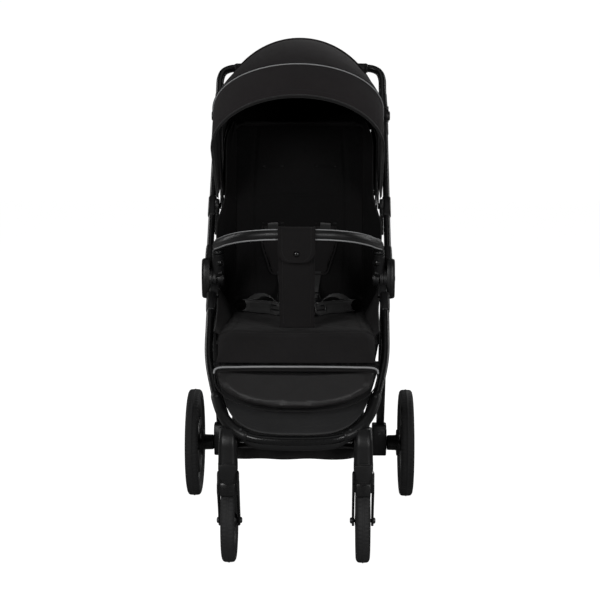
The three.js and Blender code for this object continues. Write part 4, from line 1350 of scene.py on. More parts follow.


# light grey piping on the lower and upper edge: piping and at the same time painted highlights along the bar
for nm, deg, r, cut in (("bumper_piping_painted_highlight_low", -48, 0.00165, 7), ("bumper_piping_painted_highlight_top", 64, 0.0011, 9)):
    q = along_bar(deg, 0.0127, cut)
    o = sweep(nm, q, "piping", circle(r, 10), rnd=0.6)
    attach(o, "bumper")
for nm, deg in (("bumper_stitch_low", -36), ("bumper_stitch_top", 55)):
    q = along_bar(deg, 0.01225, 9)
    o = stitches(nm, q, "thread", 0.0046, 0.003, 0.00035)
    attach(o, "bumper")

# plugs of the bar, in the sockets at both sides
plug = turned("bumper_plug", [(0, 40), (8.6, 40), (8.9, 41), (8.9, 63.5), (12.6, 63.5), (13.1, 64.2), (13.1, 68.2), (12.5, 69.2), (0, 69.2)], (180, 4, 573), AX, "satin", 40)
both(plug, "bumper_plug", "bumper")
ring = turned("bumper_ring", [(13.15, 64.9), (13.5, 65.2), (13.5, 67.2), (13.15, 67.5)], (180, 4, 573), AX, "steel", 40)
both(ring, "bumper_ring", "bumper")

# sockets: a round body at the hinge and a collar that takes the plug
sock = disc_x("socket_body", 19.8, 168.2, 183.4, 10, 573, "plastic", b=2.2)
cap_ = disc_x("socket_cap", 14.0, 167.2, 169.0, 10, 573, "satin", b=0.8)
col = turned("socket_collar", [(9.4, 20), (9.4, 61), (10.2, 61.8), (13.2, 61.8), (13.9, 61), (13.9, 57), (13.2, 56.4), (13.2, 55.2), (13.9, 54.6), (13.9, 24), (12.4, 10), (10.4, 4), (9.4, 4)], (180, 4, 573), AX, "plastic", 44)
web_ = prism("socket_web", [(-14, 585), (-11.5, 600), (6, 604), (20, 583)], 171.5, 181, "X", "plastic", 1.6)
btn = []
v1 = on_ax(40)
rb = turned("socket_button", [(0, 13.0), (5.6, 13.0), (6.3, 13.7), (6.3, 15.0), (5.4, 15.7), (0, 16.0)], (180, v1[1], v1[2]), (-0.35, -0.94, -0.12), "snap", 30, up=(0, 0, 1))
bz = turned("socket_bezel", [(6.6, 11.5), (8.4, 11.5), (8.4, 13.9), (8.0, 14.4), (6.9, 14.4), (6.6, 14.0)], (180, v1[1], v1[2]), (-0.35, -0.94, -0.12), "plastic", 30, up=(0, 0, 1))
scr = disc_x("socket_screw", 3.4, 166.4, 167.4, 10, 573, "steel", b=0.5, n=24)
so = join("bumper_socket_body", [sock, cap_, col, web_, bz, scr, rb])
both(so, "bumper_socket_body", "bumper_mount", "bumper_socket_*")

# sleeve of cloth buttoned over the middle of the bar
C0 = (-199.9, 693.8)


def sleeve_yz(v):
    """Profile round the bar and down the front: v 0 behind the bar, 1 at the tip."""
    L1 = math.radians(250) * 15.9
    L2 = 57.0
    s = v * (L1 + L2)
    if s < L1:
        a = math.radians(-70) + s / 15.9                 # from below and behind, over the top, to the front
        return C0[0] + 15.9 * math.cos(a), C0[1] + 15.9 * math.sin(a)
    k = (s - L1) / L2
    return C0[0] - 15.9 + 3.4 * k + 1.2 * math.sin(k * 3.1), C0[1] - 57 * k + 0.0


def sleeve_half(v):
    L1 = math.radians(250) * 15.9
    s = v * (L1 + 57.0)
    d = L1 + 57.0 - s
    return 37.5 if d > 26 else 37.5 - 26 + math.sqrt(max(0.0, 26 ** 2 - (26 - d) ** 2)) if d > 0 else 13.0


def sleeve_pt(u, v, off=0.0, inset=0.0):
    y, z = sleeve_yz(v)
    y2, z2 = sleeve_yz(min(1.0, v + 0.004)) if v < 0.995 else sleeve_yz(v)
    y1, z1 = sleeve_yz(max(0.0, v - 0.004))
    ty, tz = y2 - y1, z2 - z1
    ln = math.hypot(ty, tz) or 1
    ny, nz = -tz / ln, ty / ln
    if ny * (y - C0[0]) + nz * (z - C0[1]) < 0:
        ny, nz = -ny, -nz
    w = sleeve_half(v) - inset
    x = (2 * u - 1) * w
    sag = 0.5 * math.cos(math.pi * (2 * u - 1)) * (v > 0.5)
    return D(x, y + ny * (off + sag), z + nz * (off + sag))


sl = grid("sleeve", lambda a, b: sleeve_pt(a, b), 40, 90, "strap")
solidify(sl, 0.0026, 0.0)
bevel(sl, 0.0009, 2, 50)
for p in sl.data.polygons:
    p.use_smooth = True
sl.name = "bar_sleeve"
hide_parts("strap_sleeve")
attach(sl, "bumper")
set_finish(sl, "fabric")


def sleeve_border(inset, off, v0=0.16):
    left = [sleeve_pt(0, v0 + (0.995 - v0) * i / 120, off, inset) for i in range(121)]
    right = [sleeve_pt(1, v0 + (0.995 - v0) * i / 120, off, inset) for i in range(121)]
    pts = np.array(left + right[::-1])
    keep = [0]
    for i in range(1, len(pts)):
        if np.linalg.norm(pts[i] - pts[keep[-1]]) > 0.0012:
            keep.append(i)
    return catmull(pts[keep], 260)


q = sleeve_border(0.0, 0.0)
o = sweep("bar_sleeve_binding", q, "strap", circle(0.0024, 12), up=(0, -1, 0))
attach(o, "bumper")
q = sleeve_border(6.5, 1.45)
o = stitches("bar_sleeve_stitch", q, "thread", 0.0042, 0.0029, 0.00036)
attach(o, "bumper")
sn = turned("sn", [(0, 2.6), (3.2, 2.4), (4.8, 1.5), (5.6, 0.4), (6.6, 0.4), (7.0, 0.0), (7.0, -1.2), (0, -1.2)], (0, -214.6, 654), (0, -1, 0.04), "snap", 40)
sn.name = "bar_sleeve_snap"
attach(sn, "bumper")

# ---- strap between the legs, from under the sleeve down to the seat
T0, T1 = np.array([-202.5, 668.0]), np.array([-174.0, 490.6])


def crotch_yz(v):
    p = T0 + (T1 - T0) * v
    bow = math.sin(math.pi * v)
    return p[0] + 3.5 * bow - 2 * smooth(0.85, 1, v), p[1] + 0.5 * bow


def crotch_pt(u, v, side):
    y, z = crotch_yz(v)
    y2, z2 = crotch_yz(min(1, v + 0.01))
    y1, z1 = crotch_yz(max(0, v - 0.01))
    ty, tz = y2 - y1, z2 - z1
    ln = math.hypot(ty, tz)
    ny, nz = (tz / ln, -ty / ln)
    if ny > 0:
        ny, nz = -ny, -nz
    x = (2 * u - 1)
    w = 37.0 - 1.3 * smooth(0.5, 0.9, v) + 1.2 * smooth(0.93, 1.0, v)
    th = 3.2 * (1 - abs(x) ** 6 * 0.75) + 0.35 * float(wob(np.array(x * 0.05), np.array(v * 0.2), 1.0))
    k = th / 2 * (1 if side else -1)
    return D(x * w, y + ny * k, z + nz * k)


cs = box_on(crotch_pt, (34, 90), "strap", "crotch_pad")
bevel(cs, 0.0008, 2, 45)
channels(cs, lambda co, nr: 0.0009 * groove(np.abs(co[:, 0]) - 0.0305, 0.0016))
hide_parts("crotch_strap")
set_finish(cs, "fabric")
trims = [cs]
for sx in (-1, 1):
    q = []
    for i in range(100):
        v = i / 99
        y, z = crotch_yz(v)
        w = 37.0 - 1.3 * smooth(0.5, 0.9, v) + 1.2 * smooth(0.93, 1.0, v)
        q.append(D(sx * w, y, z))
    trims.append(sweep("crotch_binding_" + ("r" if sx > 0 else "l"), catmull(q, 110), "strap", circle(0.0016, 10), up=(0, -1, 0)))
    q2 = []
    for i in range(100):
        v = 0.02 + 0.95 * i / 99
        p = crotch_pt(0.5 + sx * 30.5 / 74, v, 1)
        q2.append((p[0], p[1], p[2]))
    trims.append(stitches("crotch_stitch_" + ("r" if sx > 0 else "l"), catmull(q2, 110), "thread", 0.0042, 0.0028, 0.00034))
for o in trims:
    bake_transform(o)

# ---- backrest: board, filled pad with sewn channels, slots, bound edge
def outline_half(s):
    """Half-width of the backrest at height s, with rounded upper corners."""
    w = 161.0
    if s > 404:
        t = min(1.0, (s - 404) / 30)
        w -= 30 * (1 - math.sqrt(max(0.0, 1 - t * t)))
    if s < 14:
        w -= 6 * (1 - s / 14)
    return w


def pad_pt(a, b, side):
    s = 3 + 430 * b
    w = outline_half(s) - 3.5
    x = (2 * a - 1)
    e = max(abs(x) ** 5, abs(2 * b - 1) ** 9)
    n = 2.6 if side == 0 else 2.6 + 13.0 * (1 - 0.55 * e)
    return on_back(x * w, s, n)


bp = box_on(pad_pt, (44, 56), "back", "backrest_cushion")


def hold_back(c):
    s, n = back_sn(np.array([c]))
    s, n = float(s[0]), float(n[0])
    n2 = min(max(n, 1.7), 21.0)
    s2 = min(max(s, -1.0), 438.0)
    x = min(max(c[0], -0.1632), 0.1632)
    return np.array(on_back(x * 1000, s2, n2))


puff(bp, voxel=5.0, cap=6.0, pin=lambda c: back_sn(np.array([c]))[1][0] < 3.2, hold=hold_back)


def back_seams(co, nr):
    s, n = back_sn(co)
    x = co[:, 0] * 1000
    front = np.clip((n - 6) / 6, 0, 1)
    d = np.zeros(len(co))
    curve = 98 + 12 * np.sin(np.clip(s / 436, 0, 1) * math.pi)          # two long seams
    d = np.maximum(d, 4.2 * groove(np.abs(x) - curve, 9))
    d = np.maximum(d, 3.6 * groove(s - (262 - 0.0009 * x * x), 9) * (np.abs(x) < curve))
    d = np.maximum(d, 2.6 * groove(s - (96 + 0.0011 * x * x), 8) * (np.abs(x) < curve))
    for x0 in (-62, 62):                                               # harness slots
        inside = (np.abs(x - x0) < 27)
        for s0 in (196, 330):
            d = np.maximum(d, 5.0 * groove(s - s0, 4.5) * inside)
    d = d + 0.9 * wob(co[:, 0] * 0.8, s / 1000 * 0.7, 2.0) + 0.5 * wob(co[:, 0] * 2.1, s / 1000 * 1.7, 5.0)
    return d * front / 1000


channels(bp, back_seams)
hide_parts("backrest_pad")
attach(bp, "backrest")
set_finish(bp, "pad")
for x0, nm in ((62, "r"), (-62, "l")):
    for s0, k in ((196, "a"), (330, "b")):
        q = [on_back(x0 + 23.5 * math.cos(t), s0 + 3.4 * math.sin(t), 17.6 + 0.3 * math.cos(2 * t)) for t in np.linspace(0, 2 * math.pi, 49)[:-1]]
        o = sweep("slot_" + k + "_" + nm, q, "binding", circle(0.0011, 8), closed=True, up=(0, -1, 0.2))
        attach(o, "backrest")

# the board's cloth-covered back, with a stitched pocket and a pull strap for the recline
brd = []
m0 = box_on(lambda a, b, side: on_back((2 * a - 1) * (outline_half(440 * b) - 1.0), 2 + 438 * b, 1.1 if side else -2.2 - 1.6 * (1 - abs(2 * a - 1) ** 8) * (1 - abs(2 * b - 1) ** 12)), (36, 48), "basket", "backrest_cover")
bevel(m0, 0.0011, 2, 45)
channels(m0, lambda co, nr: 0.001 * groove(np.abs(co[:, 0]) - 0.126, 0.004) * (nr[:, 1] > 0.3))
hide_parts("backrest_board")
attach(m0, "backrest")
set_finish(m0, "fabric")
for sx in (-1, 1):
    pts = [on_back(sx * (outline_half(s) - 0.2), s, 0.6) for s in list(np.linspace(6, 404, 50)) + [410, 416, 422, 427, 431, 433.5]]
    o = sweep("backrest_binding_" + ("r" if sx > 0 else "l"), catmull(pts, 130), "binding", circle(0.0021, 10), up=(0, -1, 0))
    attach(o, "backrest")
pts = [on_back(x, 437.0, 1.0) for x in np.linspace(-128, 128, 60)]
o = sweep("backrest_top_binding", pts, "binding", circle(0.0024, 10), up=(0, -1, 0), rnd=0.6)
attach(o, "backrest")
for sx in (-1, 1):
    pts = [on_back(sx * 118, s, -4.2) for s in np.linspace(40, 400, 40)]
    o = stitches("backrest_stitch_" + ("r" if sx > 0 else "l"), pts, "thread", 0.0046, 0.003, 0.00036)
    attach(o, "backrest")
pull = sweep("recline_strap", [on_back(0, 330, -5.2), on_back(0, 300, -6.0), on_back(0, 250, -6.8), on_back(1, 200, -7.2), on_back(0, 170, -8.0)], "web", rrect(0.025, 0.0016, 0.0007, 3), up=(0, -1, 0.2))
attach(pull, "backrest")
grip = prism("recline_clip", [(-17, -9), (17, -9), (17, 9), (-17, 9)], -3.2, 3.2, "Z", "plastic", 2.2)
Mx = Matrix.Rotation(-(math.pi / 2 - LEAN), 4, "X")
for v in grip.data.vertices:
    p = Vector((v.co.x, v.co.y - SY, v.co.z))
    loc = on_back(p.x * 1000, 166 + p.y * 1000, -9.4 + p.z * 1000)
    v.co = loc
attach(grip, "backrest")

# ---- side wings between the backrest and the upper frame
WOUT = catmull([(177, 64, 472), (180, 58, 516), (182, 52, 556), (185.5, 62, 610), (189, 80, 660), (188.5, 96, 692), (182, 108, 712), (172, 121, 748), (171, 152, 822), (169, 184, 884), (154, 204, 918)], 90)
WIN = catmull([on_b for on_b in [(149, 108 + s * LS - 13 * LC, 492 + s * LC + 13 * LS) for s in (-11, 22, 90, 160, 230, 300, 360, 410, 432)]], 90)


def wing_at(a, b, sx, off=0.0):
    """a from the pad's edge 0 to the outer edge 1, b upwards."""
    i = b * 89
    j = min(88, int(i))
    t = i - j
    p = WIN[j] * (1 - t) + WIN[j + 1] * t
    q = WOUT[j] * (1 - t) + WOUT[j + 1] * t
    r = p + (q - p) * a
    body = math.sin(math.pi * a)
    r = r + np.array([-2.0, -5.0, 0]) * body * (0.6 + 0.4 * math.sin(b * 9 + sx))
    w = float(wob(np.array(a * 0.035 + 0.01 * sx), np.array(b * 0.16), 2.0 + sx)) * 2.2 * body
    fold = 1.8 * math.sin(a * 9 + 4 * b + (1.3 if sx > 0 else 0.2)) * body
    r = r + np.array([0.45, -1.0, 0.0]) * (w + fold + off)
    return D(sx * r[0], r[1], r[2])


for sx, sd in ((1, "r"), (-1, "l")):
    wg = grid("wing_" + sd, lambda a, b: wing_at(a, b, sx), 26, 110, "back")
    solidify(wg, 0.0016, 0.0)
    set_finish(wg, "fabric")
    qq = np.array([wing_at(1.0, i / 119, sx) for i in range(120)])
    eb = sweep("wing_binding_" + sd, qq, "binding", circle(0.0017, 8), up=(0, -1, 0))
    for o in (wg, eb):
        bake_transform(o)

# ---- curtain that closes the rear of the hood above the backrest
def curtain(u, k, off=0.0):
    """u across, k 1 at the hood's rear edge and 0 at the free edge."""
    e = abs(u)
    sg = 1 if u >= 0 else -1
    top = (np.array(canopy_at(u, 0.012, 1.6 + off)) - np.array([0, SY, 0])) * 1000
    x, r = arch(u, 187.0 - off, 186, 384 - off, 38)
    m = r * 0.0523 + 7.0
    chord = np.array([sg * 166 * min(1.0, e / 0.5), 318 + 6 * math.sin(math.pi * min(1, e / 0.5) * 0.5), 893 + 4 * e * 2])
    belly = math.sin(math.pi * k) * 7.0

    def hem(xx):
        return np.array([xx, 150 + 0.669 * r + 0.743 * m, 725 + 0.743 * r - 0.669 * m])
    if k > 0.66:
        side = top + (hem(top[0]) - top) * (1 - k) / 0.34
    else:
        side = hem(top[0]) + (hem(sg * 174.5) - hem(top[0])) * (1 - k / 0.66)
    w = smooth(0.5, 0.66, e)
    c = top + (chord - top) * (1 - k) + np.array([0, 0.6, 0.8]) * (belly + 1.6 * math.sin(u * 23) * math.sin(math.pi * k) + off)
    return c * (1 - w) + side * w


ct = grid("rear_curtain", lambda a, b: D(*curtain(2 * a - 1, b)), 120, 22, "lining")
solidify(ct, 0.0016, 0.0)
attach(ct, "upper_frame")
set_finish(ct, "fabric")
qq = [D(*curtain(-0.97 + 1.94 * i / 200, 0.0)) for i in range(201)]
o = sweep("rear_curtain_hem", catmull(qq, 240), "binding", rrect(0.003, 0.0075, 0.0014, 3), up=(0, 0, 1))
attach(o, "upper_frame")

# ---- seat cushion with its roll over the knees
TOPP = [(93, 478), (84, 483), (60, 485), (-20, 486), (-110, 486.5), (-178, 486.5), (-208, 484), (-228, 476), (-242, 463), (-256, 449), (-266, 438), (-275.0, 425.2)]
BOTP = [(93, 464.5), (84, 463.2), (60, 463), (-20, 463), (-110, 463), (-176, 463), (-203, 460.5), (-222, 451.5), (-238, 442), (-250, 436.4), (-258.5, 433.0), (-268.0, 420.8)]
TOPC = catmull([(0, *p) for p in TOPP], 120)
BOTC = catmull([(0, *p) for p in BOTP], 120)


def seat_half(y):
    return 176.5 - 13.5 * smooth(-150, 96, y)


def cushion_pt(a, b, side):
    i = b * 119
    j = min(118, int(i))
    t = i - j
    p = TOPC[j] * (1 - t) + TOPC[j + 1] * t
    q = BOTC[j] * (1 - t) + BOTC[j + 1] * t
    mid = (p + q) / 2
    x = 2 * a - 1
    k = (1 - 0.42 * abs(x) ** 7)
    r = mid + ((p if side else q) - mid) * k * 0.86
    w = seat_half(p[1]) - 4.0
    return D(x * w, r[1], r[2])


def profile_room(line):
    ys = np.array([p[0] for p in line][::-1], float)
    zs = np.array([p[1] for p in line][::-1], float)
    return ys, zs


TY, TZ = profile_room(TOPP)
BY, BZ = profile_room(BOTP)


def hold_seat(c):
    y = (c[1] - SY) * 1000
    z = c[2] * 1000
    zt = float(np.interp(y, TY, TZ)) + 2.2
    zb = float(np.interp(y, BY, BZ)) - 0.6
    y = min(y, 95.5)
    w = seat_half(y) + 1.0
    x = min(max(c[0] * 1000, -w), w)
    return np.array(D(x, y, min(max(z, zb), zt)))


seat = box_on(cushion_pt, (64, 84), "seat", "seat_pad")
puff(seat, voxel=5.0, cap=6.0, pin=lambda c: c[2] < 0.4645 and (c[1] - SY) > -0.18 and abs(c[0]) < 0.16, hold=hold_seat)
SEAM_Y = -206.0


def seat_seams(co, nr):
    x = co[:, 0] * 1000
    y = (co[:, 1] - SY) * 1000
    z = co[:, 2] * 1000
    up = np.clip(nr[:, 2] * 2 + 0.35, 0, 1) * (z > 474) + np.clip(-nr[:, 1] * 2, 0, 1) * (y < -200)
    up = np.clip(up, 0, 1)
    yy = SEAM_Y + 0.00022 * x * x
    d = 2.2 * groove(y - yy - 3.2, 5) + 2.0 * groove(y - yy + 3.4, 5) - 1.3 * groove(y - yy, 3.0)
    d = d + 1.7 * groove(np.abs(x) - (138 - 8 * np.clip((y + 200) / 296, 0, 1)), 7) * (y > -196)
    d = d + 0.8 * wob(co[:, 0] * 0.5, co[:, 1] * 0.6, 1.0) + 0.45 * wob(co[:, 0] * 1.6, co[:, 1] * 1.3, 4.0)
    sit = np.exp(-((x / 90) ** 2)) * np.exp(-(((y + 60) / 90) ** 2))
    return (d + 2.2 * sit) * up / 1000


channels(seat, seat_seams)
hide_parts("seat_cushion")
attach(seat, "front_frame")
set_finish(seat, "pad")


def seat_top(y):
    return float(np.interp(y, TY, TZ))


# stitches beside the knee seam
for off, nm in ((7.0, "a"),):
    pts = []
    for x in np.linspace(-158, 158, 90):
        y = SEAM_Y + 0.00022 * x * x + off
        pts.append(D(x, y, seat_top(y) + 0.4))
    o = stitches("seat_stitch_" + nm, pts, "thread", 0.0046, 0.003, 0.00036)
    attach(o, "front_frame")

# grey piping between the flap and the leg rest, its ends turned down
pts = [(-172.6, -281.5, 410), (-171.6, -279.5, 416), (-165, -278.2, 420.3), (-120, -277.6, 422.4), (0, -277.2, 423.2), (120, -277.6, 422.4), (165, -278.2, 420.3), (171.6, -279.5, 416), (172.6, -281.5, 410)]
pl = catmull(mm(pts), 150)
o = sweep("leg_rest_piping", pl, "piping", circle(0.00215, 10), up=(0, 0, 1), rnd=0.6)
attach(o, "leg_support")
fl = sweep("leg_rest_piping_tape", pl + np.array([0, 0.0016, -0.0030]), "binding", rrect(0.0016, 0.0060, 0.0007, 3), up=(0, 0, 1))
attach(fl, "leg_support")

# hinge cloth under the flap, joining the cushion to the leg rest
hc = grid("knee_hinge_cloth", lambda a, b: D((2 * a - 1) * 168, -266.0 - 6.0 * b, 424.0 - 11.5 * b - 1.0 * math.sin(math.pi * b)), 40, 8, "seat")
solidify(hc, 0.0018, 0.0)
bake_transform(hc)

# ---- leg rest pad: straight top edge, round below, coated cloth
LA = math.atan2(78, 70)
LCO, LSI = math.cos(LA), math.sin(LA)


def on_leg(x, h, n):
    """h down the slope, n inwards from the front face."""
    return D(x, -268 - h * LCO + n * LSI, 431 - h * LSI - n * LCO)


def leg_hn(co):
    y = (co[:, 1] - SY) * 1000 + 268
    z = co[:, 2] * 1000 - 431
    return -y * LCO - z * LSI, y * LSI - z * LCO


def leg_half(h):
    if h < 26:
        return 171.0
    t = min(1.0, (h - 26) / 87.0)
    return 171.0 * (1 - t ** 2.35) ** (1 / 2.35)


def leg_pt(a, b, side):
    # polar-like map: rows shrink towards the tip
    h = 17.5 + 91.5 * math.sin(b * math.pi / 2)
    w = max(10.0, leg_half(h + 3.5) - 4.0)
    x = 2 * a - 1
    e = max(abs(x) ** 6, abs(2 * b - 1) ** 10)
    n = 9.5 + (-1 if side else 1) * 7.2 * (1 - 0.5 * e)
    return on_leg(x * w, h, n)


def hold_leg(c):
    h, n = leg_hn(np.array([c]))
    h, n = float(h[0]), float(n[0])
    h = min(max(h, 13.6), 113.5)
    n = min(max(n, -0.5), 19.6)
    w = leg_half(h) + 0.8
    x = min(max(c[0] * 1000, -w), w)
    return np.array(on_leg(x, h, n))


leg = box_on(leg_pt, (72, 34), "leg", "leg_rest_pad")
puff(leg, voxel=4.0, cap=5.5, hold=hold_leg, smooth_it=4)


def leg_seams(co, nr):
    h, n = leg_hn(co)
    x = co[:, 0] * 1000
    front = (n < 9).astype(float)
    hw = np.array([leg_half(v) for v in h])
    edge = np.minimum(hw - np.abs(x), 113 - h)
    d = 0.9 * groove(n - 10.5, 2.0) * (edge < 6)
    d = d + front * (0.35 * wob(co[:, 0] * 0.5, h / 1000 * 0.8, 3.0) + 0.22 * wob(co[:, 0] * 1.7, h / 1000 * 1.9, 6.0))
    return d / 1000


channels(leg, leg_seams)
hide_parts("leg_rest")
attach(leg, "leg_support")
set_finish(leg, "leg")
q = []
for t in np.linspace(0, 1, 90):
    ang = t * math.pi
    c_, s_ = math.cos(ang), math.sin(ang)
    q.append(on_leg(math.copysign(171.2 * abs(c_) ** (2 / 2.35), c_), 26 + 86.6 * abs(s_) ** (2 / 2.35), 11.0))
q = [on_leg(171.2, 18, 11.0)] + q + [on_leg(-171.2, 18, 11.0)]
o = sweep("leg_rest_welt", catmull(q, 220), "binding", circle(0.0013, 8), up=(0, -1, 0))
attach(o, "leg_support")

# ---- cloth that closes the gap between cushion and backrest
jc = []


def junction(a, b):
    x = (2 * a - 1) * (167 - 5 * b)
    p = [(60, 480.5), (80, 484.6), (94, 487.0), (100.5, 494), (99.5, 505)]
    i = b * 4
    j = min(3, int(i))
    t = i - j
    y = p[j][0] * (1 - t) + p[j + 1][0] * t
    z = p[j][1] * (1 - t) + p[j + 1][1] * t
    return D(x, y - 12 * smooth(0.5, 1, b) + 0.8 * math.sin(a * 31), z + 0.7 * math.sin(a * 23 + b * 3))


jn = grid("seat_back_cloth", junction, 60, 16, "back")
solidify(jn, 0.0018, 0.0)
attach(jn, "front_frame")

# ---- front cloth panel stretched inside the lower loop
loop = np.array([(p[0] * 1000, (p[1] - SY) * 1000, p[2] * 1000) for p in LOOP])
PAN = catmull([(177.5, -180, 0), (168, -215, 0), (141, -283, 0), (115, -310, 0), (84, -324, 0), (42, -329.5, 0), (0, -330, 0)], 60)


def loop_z(y):
    return 573 + (y - 10) * (294.3 / 353)


def panel_pt(a, b):
    """a across, b from the top edge 0 to the tube 1."""
    x = 2 * a - 1
    s = abs(x)
    i = (1 - s) * 59
    j = min(58, int(i))
    t = i - j
    p = PAN[j] * (1 - t) + PAN[j + 1] * t
    yt = -182 - 10 * math.cos(x * math.pi / 2)
    y = yt + (p[1] - yt) * b
    xx = math.copysign(p[0], x) if s > 1e-6 else 0.0
    sag = 5.5 * math.sin(math.pi * b) * math.cos(x * math.pi / 2) ** 0.6
    return D(xx, y, loop_z(y) - 0.5 - sag)


pn = grid("leg_panel", panel_pt, 90, 30, "panel")
solidify(pn, 0.0022, 0.0)
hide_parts("foot_panel")
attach(pn, "front_frame")
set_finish(pn, "panel")
for off, nm in ((0.93, "a"), (0.865, "b")):
    pts = [np.array(panel_pt(i / 140, off)) + np.array([0, -0.0006, 0.0012]) for i in range(6, 135)]
    o = stitches("leg_panel_stitch_" + nm, pts, "thread", 0.0046, 0.003, 0.00036)
    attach(o, "front_frame")

# ---- side gussets between the cushion and the frame
def gusset(a, b, sx):
    """a from the cushion's edge up to the free edge, b from front to back."""
    y = -196 + 262 * b
    base = np.array([seat_half(y) - 17.0, y, seat_top(y) - 12.0])
    rise = 6 + 62 * smooth(0.0, 0.75, b) * (0.55 + 0.45 * b)
    outer = np.array([178.0 + 4.5 * smooth(0.4, 0.7, b), y + 4, min(base[2] + 5 + rise, 541 + 6 * smooth(0.8, 1.0, b))])
    p = base + (outer - base) * a
    p = p + np.array([1.0, 0, 0]) * (2.2 * math.sin(math.pi * a) * math.sin(b * 7 + sx))
    x = min(p[0], 183.0)
    return D(sx * x, p[1], p[2])


for sx, sd in ((1, "r"), (-1, "l")):
    gs = grid("gusset_" + sd, lambda a, b: gusset(a, b, sx), 18, 60, "seat")
    solidify(gs, 0.0015, 0.0)
    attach(gs, "front_frame")
    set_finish(gs, "fabric")
    qq = catmull([gusset(1.0, i / 50, sx) for i in range(51)], 120)
    eb = sweep("gusset_binding_" + sd, qq, "binding", circle(0.0016, 8), up=(0, 0, 1), rnd=0.6)
    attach(eb, "front_frame")

# ---- harness: shoulder pads, webbing, ladder adjusters, buckle


def strap_between(name, pts, width, thick, up, mat="web", n=60):
    return sweep(name, catmull(pts, n), mat, rrect(width, thick, thick * 0.45, 2), up=up)


def shoulder_pt(a, b, side, sx):
    s = 190 - 116 * b
    cx = 60 - 17 * smooth(0.25, 1.0, b)
    w = 25.5 + 2.0 * math.sin(math.pi * min(1, b * 1.2))
    tip = 1 - b
    if tip < 0.16:
        w *= math.sqrt(max(0.02, 1 - (1 - tip / 0.16) ** 2)) * 0.5 + 0.5
    if b < 0.06:
        w *= 0.86 + 0.14 * b / 0.06
    x = 2 * a - 1
    e = max(abs(x) ** 4, abs(2 * b - 1) ** 10)
    n = 23.0 + (0.3 if side == 0 else 6.6 * (1 - 0.6 * e))
    return on_back(sx * (cx + x * w), s, n)


